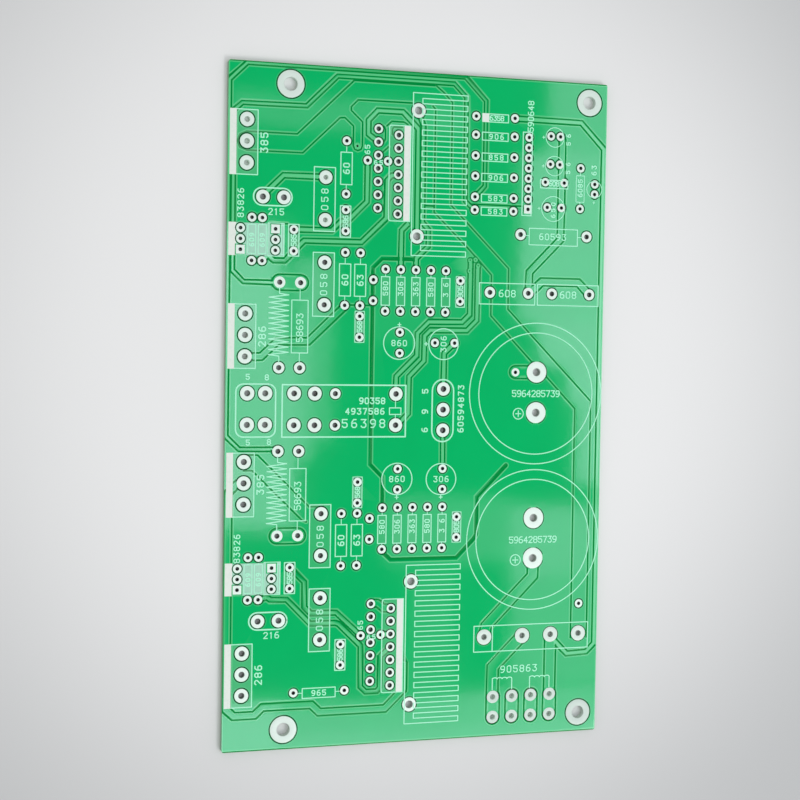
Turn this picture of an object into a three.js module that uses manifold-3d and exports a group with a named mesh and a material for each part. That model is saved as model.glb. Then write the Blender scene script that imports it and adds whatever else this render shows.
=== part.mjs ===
// A bare double-sided printed circuit board for a two-channel power amplifier, with no parts fitted.
// It lies flat: X runs across its width, Y along its length, and Z up from its underside, whose
// middle is the origin. Lengths are in millimetres. The board is drilled for every lead. Each large
// plated land is a piece of its own: a tube through the board with a flange flush in each face.

import * as THREE from "three";
import { mergeVertices } from "three/addons/utils/BufferGeometryUtils.js";
import Module from "manifold-3d";

// Outline
const boardWidth = 96.4;
const boardLength = 164;
const boardThickness = 1.6;
const cornerRadius = 0.5;

// The places below are measured from the lower left corner of an outline of this size, and
// spread in proportion when the outline above is changed.
const drawnWidth = 96.4;
const drawnLength = 164;

// Mounting holes, from the edges
const mountInset = 4.8;
const mountInsetLeft = 14.9;

// The transformer's terminals keep this distance to the right edge, clear of the mounting hole.
const transformerInset = 20.3;

// Build of a plated land
const flangeThickness = 0.1;
const platingWall = 0.1;
const seatGap = 0.02; // left all round between a land and the board
const cutterRise = 1; // how far a cutter stands out of the face that it cuts

// Flange diameter and finished bore of each kind of land
const mountLand = { flange: 6.9, bore: 3.2 };
const transistorLand = { flange: 3.4, bore: 1.4 };
const emitterLand = { flange: 3.3, bore: 1.2 };
const heatSinkLand = { flange: 3.5, bore: 1.9 };
const relayLand = { flange: 3.4, bore: 1.3 };
const relayMiddleLand = { flange: 2.7, bore: 1.3 };
const speakerLand = { flange: 3.4, bore: 1.4 };
const audioLand = { flange: 3.3, bore: 1.4 };
const transformerLand = { flange: 3.2, bore: 1.4 };
const rectifierLand = { flange: 3.9, bore: 1.4 };
const reservoirLand = { flange: 5.3, bore: 1.9 };

// Bores of the small holes
const signalBore = 0.85;
const driverBore = 1.15;
const leadBore = 1.2;
const testPointBore = 1.4;
const viaBore = 0.6;

// Spacings of leads
const pinPitch = 2.54;
const widePinPitch = 3.81;
const capacitorPitch = 5.08;
const resistorPitch = 10.16;
const longResistorPitch = 12.7;
const wideResistorPitch = 17.78;
const resistorRowPitch = 3.85;
const inductorPitch = 20.32;
const transistorPitch = 5.08;
const reservoirPitch = 10.16;
const heatSinkPitch = 30.48;
const terminalPitch = 5.08;
const speakerPitch = 4.35;
const speakerRowPitch = 7.5;
const relayPitch = 5.08;
const relayReach = 25.4;
const relayRowPitch = 7.62;
const driverPinPitch = 3.175;
const driverRowPitch = 5.08;
const driverStagger = 1.27;

// Offsets about a footprint's middle: a line along X, a line along Y, and columns by rows
const steps = (count, pitch) =>
  Array.from({ length: count }, (_, i) => (i - (count - 1) / 2) * pitch);
const alongX = (count, pitch) => steps(count, pitch).map((x) => [x, 0]);
const alongY = (count, pitch) => steps(count, pitch).map((y) => [0, -y]);
const grid = (columns, rows) => rows.flatMap((y) => columns.map((x) => [x, -y]));

// The driver's pins stand in two columns, the right one lower by the stagger.
const driverPins = steps(7, driverPinPitch).flatMap((y) => [
  [-driverRowPitch / 2, y + driverStagger / 2],
  [driverRowPitch / 2, y - driverStagger / 2],
]);

// Where the relay's lands stand, from its contact end
const relayRows = steps(2, relayRowPitch);
const relayPlace = [16.6, 82];

// A long resistor with a capacitor in line below it, about the resistor's middle
const dampingReach = longResistorPitch / 2;
const dampingPins = [
  -dampingReach,
  dampingReach,
  dampingReach + pinPitch,
  dampingReach + pinPitch + capacitorPitch,
];

// Footprints with lands of their own: kind, offsets, and each one's name and middle
const landedFootprints = [
  {
    kind: transistorLand,
    offsets: alongY(3, transistorPitch),
    places: {
      output_transistor_1: [4.5, 145.25],
      output_transistor_2: [4.55, 99.6],
      output_transistor_3: [4.6, 64.4],
      output_transistor_4: [4.6, 18.6],
    },
  },
  {
    kind: emitterLand,
    offsets: alongY(2, resistorPitch),
    places: {
      emitter_resistor_1: [23.7, 132.5],
      emitter_resistor_2: [23.7, 112.2],
      emitter_resistor_3: [23.6, 51.75],
      emitter_resistor_4: [23.65, 31.3],
    },
  },
  {
    kind: heatSinkLand,
    offsets: alongY(2, heatSinkPitch),
    places: { heat_sink_1: [46.7, 139.5], heat_sink_2: [46.55, 24.45] },
  },
  {
    kind: reservoirLand,
    offsets: alongY(2, reservoirPitch),
    places: { reservoir_1: [78.65, 86.35], reservoir_2: [78.55, 49.7] },
  },
  {
    kind: relayLand,
    offsets: grid([0, relayPitch], relayRows),
    places: { relay_contact: relayPlace },
  },
  {
    kind: relayMiddleLand,
    offsets: grid([2 * relayPitch], relayRows),
    places: { relay_common: relayPlace },
  },
  {
    kind: relayLand,
    offsets: grid([relayReach], relayRows),
    places: { relay_coil: relayPlace },
  },
  {
    kind: speakerLand,
    offsets: grid(steps(2, speakerPitch), steps(2, speakerRowPitch)),
    places: { speaker: [7.4, 82.05] },
  },
  {
    kind: audioLand,
    offsets: alongY(3, terminalPitch),
    places: { audio: [54.15, 82] },
  },
  {
    kind: transformerLand,
    offsets: grid(steps(4, terminalPitch), steps(2, terminalPitch)),
    places: { transformer: [drawnWidth * (1 - transformerInset / boardWidth), 7.35] },
  },
  {
    kind: rectifierLand,
    offsets: [-5, -1, 2, 5].map((step) => [step * pinPitch, 0]),
    places: { rectifier: [78.6, 25.1] },
  },
];

// Footprints that are only drilled: bore, offsets, and the middles of all that are alike
const drilledFootprints = [
  {
    bore: signalBore,
    offsets: alongY(2, resistorPitch),
    places: [
      [5.9, 122.3],
      [8.4, 122.3],
      [5.85, 41.55],
      [8.4, 41.55],
      [89.55, 137.7],
    ],
  },
  {
    bore: signalBore,
    offsets: grid(steps(5, resistorRowPitch), steps(2, resistorPitch)),
    places: [
      [46.6, 111],
      [46.65, 52.9],
    ],
  },
  {
    bore: signalBore,
    offsets: alongX(2, resistorPitch),
    places: [154.25, 149.7, 144.6, 139.6, 134.5, 131.3].map((y) => [66.6, y]),
  },
  {
    bore: signalBore,
    offsets: alongY(2, longResistorPitch),
    places: [
      [28.75, 140.15],
      [28.75, 113.45],
      [28.65, 50.4],
    ],
  },
  { bore: signalBore, offsets: grid([0], dampingPins), places: [[32.55, 113.45]] },
  { bore: signalBore, offsets: grid([0], dampingPins.map((y) => -y)), places: [[32.6, 50.4]] },
  {
    bore: signalBore,
    offsets: alongX(2, longResistorPitch),
    places: [[23.65, 13.55]],
  },
  {
    bore: signalBore,
    offsets: alongY(2, capacitorPitch),
    places: [
      [16.05, 122.3],
      [28.75, 127.5],
      [35.85, 110.9],
      [58.1, 111.2],
      [42.75, 98.3],
      [16.05, 41.45],
      [28.85, 22.35],
      [35.75, 52.9],
      [58.1, 52.9],
      [42.7, 64.95],
      [54.25, 64.9],
    ],
  },
  {
    bore: signalBore,
    offsets: alongX(2, capacitorPitch),
    places: [
      [36.55, 142.1],
      [36.45, 26.8],
      [54.3, 98.4],
      [82.6, 138.9],
    ],
  },
  {
    bore: signalBore,
    offsets: alongX(2, pinPitch),
    places: [
      [82.65, 150.35],
      [82.6, 143.4],
    ],
  },
  { bore: signalBore, offsets: alongX(2, widePinPitch), places: [[82.6, 132.65]] },
  { bore: signalBore, offsets: alongY(2, pinPitch), places: [[93.45, 137.65]] },
  {
    bore: signalBore,
    offsets: alongY(3, pinPitch),
    places: [
      [3.2, 122.3],
      [11.6, 122.3],
      [3.3, 41.5],
      [11.6, 41.45],
    ],
  },
  { bore: signalBore, offsets: alongY(8, pinPitch), places: [[75.55, 140.85]] },
  {
    bore: driverBore,
    offsets: driverPins,
    places: [
      [39.2, 139.65],
      [38.95, 24.35],
    ],
  },
  {
    bore: leadBore,
    offsets: grid(steps(2, capacitorPitch), steps(2, inductorPitch)),
    places: [
      [15.3, 102.1],
      [15.35, 61.8],
    ],
  },
  {
    bore: leadBore,
    offsets: alongX(2, resistorPitch),
    places: [
      [70.95, 111.1],
      [87.45, 111.1],
    ],
  },
  { bore: leadBore, offsets: alongX(2, wideResistorPitch), places: [[82.6, 125.65]] },
  {
    bore: leadBore,
    offsets: [[0, 0]],
    places: [
      [73, 91.35],
      [91.3, 32.7],
    ],
  },
  {
    bore: testPointBore,
    offsets: alongX(2, terminalPitch),
    places: [
      [11, 132.35],
      [10.9, 31.25],
    ],
  },
  { bore: viaBore, offsets: [[0, 0]], places: [[31.4, 145.4]] },
];

// A drawn place, moved to the board's own frame
function onBoard([x, y]) {
  return [(x / drawnWidth - 0.5) * boardWidth, (y / drawnLength - 0.5) * boardLength];
}

// The spots of one footprint's lands
function spots(middle, offsets) {
  const [x, y] = onBoard(middle);
  return offsets.map(([dx, dy]) => [x + dx, y + dy]);
}

// The four mounting holes, anticlockwise from the lower left
function mountSpots() {
  const left = mountInsetLeft - boardWidth / 2;
  const right = boardWidth / 2 - mountInset;
  const reach = boardLength / 2 - mountInset;
  return [
    [left, -reach],
    [right, -reach],
    [right, reach],
    [left, reach],
  ];
}

// Every land that is a piece of its own: name, kind and spot
function listLands() {
  const lands = mountSpots().map((at, i) => ({ name: `mount_land_${i + 1}`, kind: mountLand, at }));
  for (const { kind, offsets, places } of landedFootprints) {
    for (const [footprint, middle] of Object.entries(places)) {
      spots(middle, offsets).forEach((at, i) =>
        lands.push({ name: `${footprint}_land_${i + 1}`, kind, at }),
      );
    }
  }
  return lands;
}

// How many sides a hole, and the land in it, are drawn with
function sidesOf(bore) {
  if (bore < 1) return 6;
  return bore < 1.8 ? 8 : 12;
}

// Every hole in the board, with its diameter there
function listHoles(lands) {
  const wall = platingWall + seatGap;
  const landed = lands.map(({ kind: { bore }, at }) => ({
    diameter: bore + 2 * wall,
    sides: sidesOf(bore),
    at,
  }));
  const drilled = drilledFootprints.flatMap(({ bore, offsets, places }) =>
    places
      .flatMap((middle) => spots(middle, offsets))
      .map((at) => ({ diameter: bore, sides: sidesOf(bore), at })),
  );
  return [...landed, ...drilled];
}

// A geometry as a solid to join or cut
function solidFrom(geometry, wasm) {
  const bare = geometry.clone();
  bare.deleteAttribute("normal");
  bare.deleteAttribute("uv");
  const merged = mergeVertices(bare, 1e-4);
  return new wasm.Manifold(
    new wasm.Mesh({
      numProp: 3,
      vertProperties: new Float32Array(merged.attributes.position.array),
      triVerts: new Uint32Array(merged.index.array),
    }),
  );
}

// A solid as a flat-shaded geometry
function geometryFrom(solid) {
  const { vertProperties, triVerts } = solid.getMesh();
  const indexed = new THREE.BufferGeometry();
  indexed.setAttribute("position", new THREE.BufferAttribute(vertProperties, 3));
  indexed.setIndex(new THREE.BufferAttribute(triVerts, 1));
  const geometry = indexed.toNonIndexed();
  geometry.computeVertexNormals();
  return geometry;
}

// The outline with its rounded corners, and a hole for every lead
function boardShape(holes) {
  const x = boardWidth / 2 - cornerRadius;
  const y = boardLength / 2 - cornerRadius;
  const shape = new THREE.Shape();
  shape.absarc(x, -y, cornerRadius, -Math.PI / 2, 0);
  shape.absarc(x, y, cornerRadius, 0, Math.PI / 2);
  shape.absarc(-x, y, cornerRadius, Math.PI / 2, Math.PI);
  shape.absarc(-x, -y, cornerRadius, Math.PI, 1.5 * Math.PI);
  shape.closePath();
  shape.holes = holes.map(circlePath);
  return shape;
}

// A hole's circle as a path of straight sides
function circlePath({ diameter, sides, at: [x, y] }) {
  const points = Array.from({ length: sides }, (_, i) => {
    const turn = (-2 * Math.PI * i) / sides;
    const radius = diameter / 2;
    return new THREE.Vector2(x + radius * Math.cos(turn), y + radius * Math.sin(turn));
  });
  return new THREE.Path(points);
}

// The shallow seat for a land's flange, in the top or the bottom face
function seatCutter({ kind, at: [x, y] }, face) {
  const depth = flangeThickness + seatGap;
  const radius = kind.flange / 2 + seatGap;
  const height = depth + cutterRise;
  const cutter = new THREE.CylinderGeometry(radius, radius, height, sidesOf(kind.bore));
  cutter.rotateX(Math.PI / 2);
  const z = face === "top" ? boardThickness - depth + height / 2 : depth - height / 2;
  return cutter.translate(x, y, z);
}

// The drilled board, with a seat in both faces for each land
function boardGeometry(lands, wasm) {
  const blank = new THREE.ExtrudeGeometry(boardShape(listHoles(lands)), {
    depth: boardThickness,
    bevelEnabled: false,
    curveSegments: 3,
  });
  const cutters = lands.flatMap((land) => [seatCutter(land, "top"), seatCutter(land, "bottom")]);
  const board = cutters.reduce(
    (solid, cutter) => solid.subtract(solidFrom(cutter, wasm)),
    solidFrom(blank, wasm),
  );
  return geometryFrom(board);
}

// A land turned about its bore: a flange at each face and the barrel between them
function landGeometry({ flange, bore }) {
  const boreRadius = bore / 2;
  const barrelRadius = boreRadius + platingWall;
  const flangeRadius = flange / 2;
  const top = boardThickness;
  const profile = [
    [boreRadius, 0],
    [flangeRadius, 0],
    [flangeRadius, flangeThickness],
    [barrelRadius, flangeThickness],
    [barrelRadius, top - flangeThickness],
    [flangeRadius, top - flangeThickness],
    [flangeRadius, top],
    [boreRadius, top],
    [boreRadius, 0],
  ].map(([radius, height]) => new THREE.Vector2(radius, height));
  return new THREE.LatheGeometry(profile, sidesOf(bore)).rotateX(Math.PI / 2);
}

function namedMesh(name, geometry, finish) {
  const mesh = new THREE.Mesh(geometry, new THREE.MeshStandardMaterial(finish));
  mesh.name = name;
  return mesh;
}

const solderMask = { color: 0x0fae5b, roughness: 0.3, metalness: 0 };
const tinPlate = { color: 0xd8dad6, roughness: 0.35, metalness: 0.9 };

const wasm = await Module();
wasm.setup();

const lands = listLands();
const group = new THREE.Group();
group.add(namedMesh("board", boardGeometry(lands, wasm), solderMask));
for (const { name, kind, at } of lands) {
  const mesh = namedMesh(name, landGeometry(kind), tinPlate);
  mesh.position.set(at[0], at[1], 0);
  group.add(mesh);
}

export default group;
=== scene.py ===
import heapq
import math

import bmesh
import bpy
import numpy as np
from mathutils import Matrix, Vector
from mathutils.geometry import delaunay_2d_cdt
from mathutils.kdtree import KDTree


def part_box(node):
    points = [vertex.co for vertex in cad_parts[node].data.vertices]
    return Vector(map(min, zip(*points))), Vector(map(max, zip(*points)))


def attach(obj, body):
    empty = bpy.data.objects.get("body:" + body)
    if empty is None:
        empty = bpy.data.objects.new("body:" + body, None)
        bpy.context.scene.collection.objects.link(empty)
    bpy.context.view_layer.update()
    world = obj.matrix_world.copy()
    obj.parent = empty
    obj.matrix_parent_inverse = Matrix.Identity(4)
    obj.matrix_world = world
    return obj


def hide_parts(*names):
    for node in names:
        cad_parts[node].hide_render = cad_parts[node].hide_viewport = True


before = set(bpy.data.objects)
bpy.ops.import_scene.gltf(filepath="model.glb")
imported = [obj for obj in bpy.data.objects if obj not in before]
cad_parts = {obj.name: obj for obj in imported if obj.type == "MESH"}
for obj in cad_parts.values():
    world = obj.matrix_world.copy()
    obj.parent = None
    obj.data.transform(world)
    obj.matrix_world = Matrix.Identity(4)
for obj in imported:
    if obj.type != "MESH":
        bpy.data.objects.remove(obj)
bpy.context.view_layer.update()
print("frame loaded,", len(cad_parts), "nodes")

mm = 0.001
boardLow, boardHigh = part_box("board")
boardWidth = (boardHigh.x - boardLow.x) / mm
boardLength = (boardHigh.y - boardLow.y) / mm
boardThickness = (boardHigh.z - boardLow.z) / mm


# Places on the board are drawn in millimetres from its lower left corner and its underside.
def toFrame(x, y, z):
    return (boardLow.x + x * mm, boardLow.y + y * mm, boardLow.z + z * mm)


def newObject(name, data):
    made = bpy.data.objects.new(name, data)
    bpy.context.scene.collection.objects.link(made)
    return made


def newMesh(name, places, edges=(), faces=()):
    mesh = bpy.data.meshes.new(name)
    mesh.from_pydata(places, edges, faces)
    return mesh


camera = {
    "place": (-111.32, 16.73, 355.81),  # mm, from the middle of the underside
    "forward": (0.28684, -0.03891, -0.95719),
    "up": (-0.00338, 0.99913, -0.04163),
    "lens": 68.23,  # mm
    "sensor": 36,
}


def placeCamera(settings):
    lens = bpy.data.cameras.new("camera")
    lens.lens, lens.sensor_width = settings["lens"], settings["sensor"]
    lens.clip_start, lens.clip_end = 0.01, 20
    forward = Vector(settings["forward"]).normalized()
    right = forward.cross(Vector(settings["up"])).normalized()
    turn = Matrix((right, right.cross(forward), -forward)).transposed().to_4x4()
    eye = newObject("camera", lens)
    eye.matrix_world = Matrix.Translation(Vector(settings["place"]) * mm) @ turn
    bpy.context.scene.camera = eye


placeCamera(camera)
print("camera placed")


def linear(hexColour):
    parts = [int(hexColour[i:i + 2], 16) / 255 for i in (1, 3, 5)]
    return [p / 12.92 if p <= 0.04045 else ((p + 0.055) / 1.055) ** 2.4 for p in parts] + [1]


# Inputs are numbers, colours or other nodes' outputs, by the name or number of their socket.
def setInputs(node, inputs):
    for socket, given in dict(inputs).items():
        if isinstance(given, bpy.types.NodeSocket):
            node.id_data.links.new(given, node.inputs[socket])
        else:
            node.inputs[socket].default_value = given


def addNode(tree, kind, inputs=(), **settings):
    node = tree.nodes.new(kind)
    for name, value in settings.items():
        setattr(node, name, value)
    setInputs(node, inputs)
    return node


def newMaterial(name):
    made = bpy.data.materials.new(name)
    made.use_nodes = True
    return made, made.node_tree, made.node_tree.nodes["Principled BSDF"]


maskFinish = {
    "overCopper": "#00BE69",
    "overLaminate": "#008F3F",
    "roundLands": "#003A1C",
    # lighter along copper edges: partly the thin mask, partly a painted highlight
    "thinMaskAndHighlight": "#93F2B4",
    "underMist": "#B4DCC6",
    "mottle": 0.05,
    "mottleSize": 9.0,  # mm
    "roughness": 0.06,
    "gloss": 0.5,  # as specular level
    "grooveGloss": 0.08,
    "orangePeel": 2.2,  # mm from crest to crest
    "peelDepth": 0.003,
    "warp": 26.0,  # mm, the laminate's slow waves
    "warpDepth": 0.05,
}


# Liquid photo-imageable solder mask, curtain coated over copper foil and baked: a thin glossy
# green varnish that is clear enough to show the copper as bright green and the bare laminate
# between tracks as dark green, and runs thin over each copper edge. Along each copper edge its
# colour is painted lighter: partly for the thin mask, partly as a painted highlight. Its skin is
# orange-peeled; the narrow grooves between tracks trap the light and hardly shine.
# Inside some outlines of the legend it carries a faint mist of white ink.
def glossySolderMask(f):
    made, tree, shader = newMaterial("glossySolderMask")
    place = addNode(tree, "ShaderNodeTexCoord").outputs["Object"]
    gap, edge, ring, mist = [addNode(tree, "ShaderNodeAttribute", attribute_name=name).outputs["Fac"]
                             for name in ("gap", "edge", "ring", "mist")]
    cloud, peel, wave = [
        addNode(tree, "ShaderNodeTexNoise", {"Vector": place, "Scale": 1 / (size * mm), "Detail": detail})
        .outputs["Fac"] for size, detail in ((f["mottleSize"], 3), (f["orangePeel"], 1), (f["warp"], 0))]
    tone = addNode(tree, "ShaderNodeMapRange", {
        "Value": cloud, "To Min": 1 - f["mottle"], "To Max": 1 + f["mottle"]})
    body = addNode(tree, "ShaderNodeMix", {
        "Factor": 1.0, "A": linear(f["overCopper"]), "B": tone.outputs["Result"]},
        data_type="RGBA", blend_type="MULTIPLY")
    for share, colour in ((gap, "overLaminate"), (ring, "roundLands"), (edge, "thinMaskAndHighlight"),
                          (mist, "underMist")):
        body = addNode(tree, "ShaderNodeMix", {
            "Factor": share, "A": body.outputs["Result"], "B": linear(f[colour])}, data_type="RGBA")
    slow = addNode(tree, "ShaderNodeBump", {"Height": wave, "Distance": f["warpDepth"] * mm})
    fine = addNode(tree, "ShaderNodeBump", {
        "Height": peel, "Distance": f["peelDepth"] * mm, "Normal": slow.outputs["Normal"]})
    gloss = addNode(tree, "ShaderNodeMapRange", {
        "Value": gap, "To Min": f["gloss"], "To Max": f["grooveGloss"]})
    setInputs(shader, {
        "Base Color": body.outputs["Result"], "Normal": fine.outputs["Normal"], "IOR": 1.5,
        "Specular IOR Level": gloss.outputs["Result"], "Roughness": f["roughness"]})
    return made


tinFinish = {
    "colour": "#EFFFF3",
    # the colour of the painted shade in the bores and of the faces' greying
    "greyedAndShaded": "#0F2B1A",
    "metallic": 0.12,
    "roughness": 0.42,
    "unevenness": 0.08,  # of the roughness
    "ripple": 0.9,  # mm
    "rippleDepth": 0.01,
}


# Hot-air levelled tin on the lands: a bright white metal, frozen in slight ripples and domes,
# so it shows soft highlights and no sharp mirror image. It is painted dark in the bores, as painted
# shade, and some faces are painted greyer.
def levelledTin(f):
    made, tree, shader = newMaterial("hotAirLevelledTin")
    place = addNode(tree, "ShaderNodeTexCoord").outputs["Object"]
    ripple = addNode(tree, "ShaderNodeTexNoise", {
        "Vector": place, "Scale": 1 / (f["ripple"] * mm), "Detail": 2.0}).outputs["Fac"]
    dull = addNode(tree, "ShaderNodeMapRange", {
        "Value": ripple, "To Min": f["roughness"] - f["unevenness"],
        "To Max": f["roughness"] + f["unevenness"]})
    bump = addNode(tree, "ShaderNodeBump", {"Height": ripple, "Distance": f["rippleDepth"] * mm})
    # painted shade in the bores and greying of some faces, from the lands' attribute
    greyingAndPaintedShade = addNode(tree, "ShaderNodeAttribute", attribute_name="greyingAndPaintedShade").outputs["Fac"]
    body = addNode(tree, "ShaderNodeMix", {
        "Factor": greyingAndPaintedShade, "A": linear(f["colour"]), "B": linear(f["greyedAndShaded"])}, data_type="RGBA")
    setInputs(shader, {
        "Base Color": body.outputs["Result"], "Normal": bump.outputs["Normal"],
        "Roughness": dull.outputs["Result"], "Metallic": f["metallic"]})
    return made


inkFinish = {
    "solidInk": {"colour": "#EEF5EB", "through": "#C9E6D3", "roughness": 0.55},
    "lineInk": {"colour": "#B4FFDA", "through": "#80FBB6", "roughness": 0.55},
    "veilInk": {"colour": "#A9E0C4", "through": "#6FCB9D", "roughness": 0.4},
}
inkGrain = {"size": 0.64, "from": 0.5, "to": 0.8, "most": 0.35}  # mm, and levels of the noise


# Screen-printed white epoxy legend ink: matt, thin, and a little uneven where the screen's
# threads held it back, so the green shows through in a fine grain, more in a thin line than in a
# broad bar. Real threads stand about 0.1 mm apart; the grain is drawn coarser so that it shows.
def legendInk(name, f):
    made, tree, shader = newMaterial("whiteEpoxy" + name[0].upper() + name[1:])
    place = addNode(tree, "ShaderNodeTexCoord").outputs["Object"]
    grain = addNode(tree, "ShaderNodeTexNoise", {
        "Vector": place, "Scale": 1 / (inkGrain["size"] * mm), "Detail": 2.0}).outputs["Fac"]
    share = addNode(tree, "ShaderNodeMapRange", {
        "Value": grain, "From Min": inkGrain["from"], "From Max": inkGrain["to"],
        "To Max": inkGrain["most"]}).outputs["Result"]
    ink = addNode(tree, "ShaderNodeMix", {
        "Factor": share, "A": linear(f["colour"]), "B": linear(f["through"])}, data_type="RGBA")
    setInputs(shader, {"Base Color": ink.outputs["Result"], "Roughness": f["roughness"]})
    return made


laminateFinish = {
    "core": "#7FAE86",
    # the colour of the painted shade towards both faces of the cut edge
    "rim": "#2C7A4C",
    "paintedShadeFrom": 0.62,  # as a share of half the thickness
    "paintedShadeTo": 0.95,
    "layers": 8,
    "layerTones": (0.88, 1.06),
    "roughness": 0.6,
    "torn": 0.25,  # mm, the routed edge's grain
    "tornDepth": 0.03,
}


# FR-4: glass cloth in epoxy, pressed into a sheet and routed. Its cut edge is a matt, milky
# green that shows the glass layers as faint lines. It is painted dark towards both faces: painted
# shade for the contact shadow at its foot and for the shaded corner at its top.
def routedLaminate(f):
    made, tree, shader = newMaterial("routedGlassEpoxyLaminate")
    place = addNode(tree, "ShaderNodeTexCoord").outputs["Object"]
    height = addNode(tree, "ShaderNodeSeparateXYZ", {0: place}).outputs["Z"]
    thickness = boardThickness * mm
    middle = (boardLow.z + boardHigh.z) / 2
    level = addNode(tree, "ShaderNodeMath", {0: height, 1: middle}, operation="SUBTRACT").outputs[0]
    away = addNode(tree, "ShaderNodeMath", {0: level}, operation="ABSOLUTE").outputs[0]
    # painted shade: darker towards the top and the bottom of the cut edge
    rim = addNode(tree, "ShaderNodeMapRange", {
        "Value": away, "From Min": thickness / 2 * f["paintedShadeFrom"], "From Max": thickness / 2 * f["paintedShadeTo"]})
    layer = addNode(tree, "ShaderNodeMath", {0: height, 1: 2 * math.pi * f["layers"] / thickness},
                    operation="MULTIPLY").outputs[0]
    cloth = addNode(tree, "ShaderNodeMath", {0: layer}, operation="SINE").outputs[0]
    tone = addNode(tree, "ShaderNodeMapRange", {
        "Value": cloth, "From Min": -1.0, "To Min": f["layerTones"][0], "To Max": f["layerTones"][1]})
    core = addNode(tree, "ShaderNodeMix", {
        "Factor": 1.0, "A": linear(f["core"]), "B": tone.outputs["Result"]},
        data_type="RGBA", blend_type="MULTIPLY")
    body = addNode(tree, "ShaderNodeMix", {
        "Factor": rim.outputs["Result"], "A": core.outputs["Result"], "B": linear(f["rim"])},
        data_type="RGBA")
    torn = addNode(tree, "ShaderNodeTexNoise", {
        "Vector": place, "Scale": 1 / (f["torn"] * mm), "Detail": 2.0}).outputs["Fac"]
    bump = addNode(tree, "ShaderNodeBump", {
        "Height": torn, "Strength": 0.6, "Distance": f["tornDepth"] * mm})
    setInputs(shader, {
        "Base Color": body.outputs["Result"], "Normal": bump.outputs["Normal"],
        "Roughness": f["roughness"]})
    return made


maskMaterial = glossySolderMask(maskFinish)
tinMaterial = levelledTin(tinFinish)
inks = {name: legendInk(name, f) for name, f in inkFinish.items()}
laminateMaterial = routedLaminate(laminateFinish)
print("materials made")


def finishPiece(name, mesh, material, replaced=()):
    mesh.materials.clear()
    mesh.materials.append(material)
    piece = newObject(name, mesh)
    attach(piece, "root")
    if replaced:
        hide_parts(*replaced)


# Each kind of land: its diameter, that of the clearance round it, its finished hole, all in mm,
# how many sides its circles have, how much greyer its face is painted, and how much painted shade
# darkens its bore.
landSizes = {
    "mounting": (6.5, 7.2, 3.2, 40, 0.1, 0.3),
    "transistor": (3.35, 4.05, 1.4, 28, 0.0, 0.72),
    "emitter": (3.2, 3.9, 1.2, 28, 0.0, 0.8),
    "heatSink": (3.5, 4.1, 1.9, 28, 0.02, 0.48),
    "relay": (3.35, 3.95, 1.3, 28, 0.0, 0.9),
    "relayMiddle": (2.6, 3.15, 1.2, 24, 0.0, 0.9),
    "speaker": (3.45, 4.0, 1.4, 28, 0.0, 0.6),
    "audio": (3.3, 3.95, 1.4, 28, 0.0, 0.9),
    "transformer": (3.15, 3.65, 1.4, 28, 0.26, 0.12),
    "rectifier": (3.85, 4.3, 1.4, 28, 0.16, 0.42),
    "reservoir": (5.25, 5.8, 1.9, 32, 0.0, 0.5),
    "small": (2.1, 2.75, 0.85, 16, 0.0, 0.97),
    "driver": (2.15, 2.8, 1.15, 16, 0.0, 0.85),
    "test": (3.25, 3.9, 1.4, 24, 0.0, 0.75),
    "lead": (2.75, 3.35, 1.2, 20, 0.0, 0.85),
    "square": (2.1, 2.7, 0.85, 16, 0.0, 0.97),
    "via": (1.1, 1.1, 0.45, 16, 0.0, 0.0),
}
landKinds = {name: dict(zip(("land", "clear", "hole", "sides", "face", "bore"), sizes))
             for name, sizes in landSizes.items()}

# A kind as it looks in one area of the board, from x, y to x, y in mm: there its bores get more or
# less painted shade, and its face is painted a different grey.
landTones = {
    "brightTransistor": ("transistor", (0, 135, 20, 164), {"face": 0.04, "bore": 0.03}),
    "middleTransistor": ("transistor", (0, 90, 20, 110), {"bore": 0.35}),
    "brightEmitter": ("emitter", (0, 122, 40, 164), {"face": 0.05, "bore": 0.05}),
    "dullMounting": ("mounting", (50, 0, 96, 20), {"face": 0.3}),
}
for name, (kind, _, changes) in landTones.items():
    landKinds[name] = {**landKinds[kind], **changes}

cadLands = {
    "mount_land": "mounting",
    "output_transistor": "transistor",
    "emitter_resistor": "emitter",
    "heat_sink": "heatSink",
    "reservoir": "reservoir",
    "relay_contact": "relay",
    "relay_coil": "relay",
    "relay_common": "relayMiddle",
    "speaker": "speaker",
    "audio": "audio",
    "transformer": "transformer",
    "rectifier": "rectifier",
}

pitch = {"pin": 2.54, "wide": 3.81, "capacitor": 5.08, "resistor": 10.16, "long": 12.7,
         "broad": 17.78, "row": 3.85, "driverPin": 3.175, "driverRow": 5.08, "driverShift": 0.635}


def along(count, step, upwards=True):
    spots = [(i - (count - 1) / 2) * step for i in range(count)]
    return [(0, -s) if upwards else (s, 0) for s in spots]


dampingPins = [(0, -pitch["long"] / 2), (0, pitch["long"] / 2), (0, pitch["long"] / 2 + pitch["pin"]),
               (0, pitch["long"] / 2 + pitch["pin"] + pitch["capacitor"])]
driverPins = [(side * pitch["driverRow"] / 2, k * pitch["driverPin"] - side * pitch["driverShift"])
              for k in range(-3, 4) for side in (-1, 1)]

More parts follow.
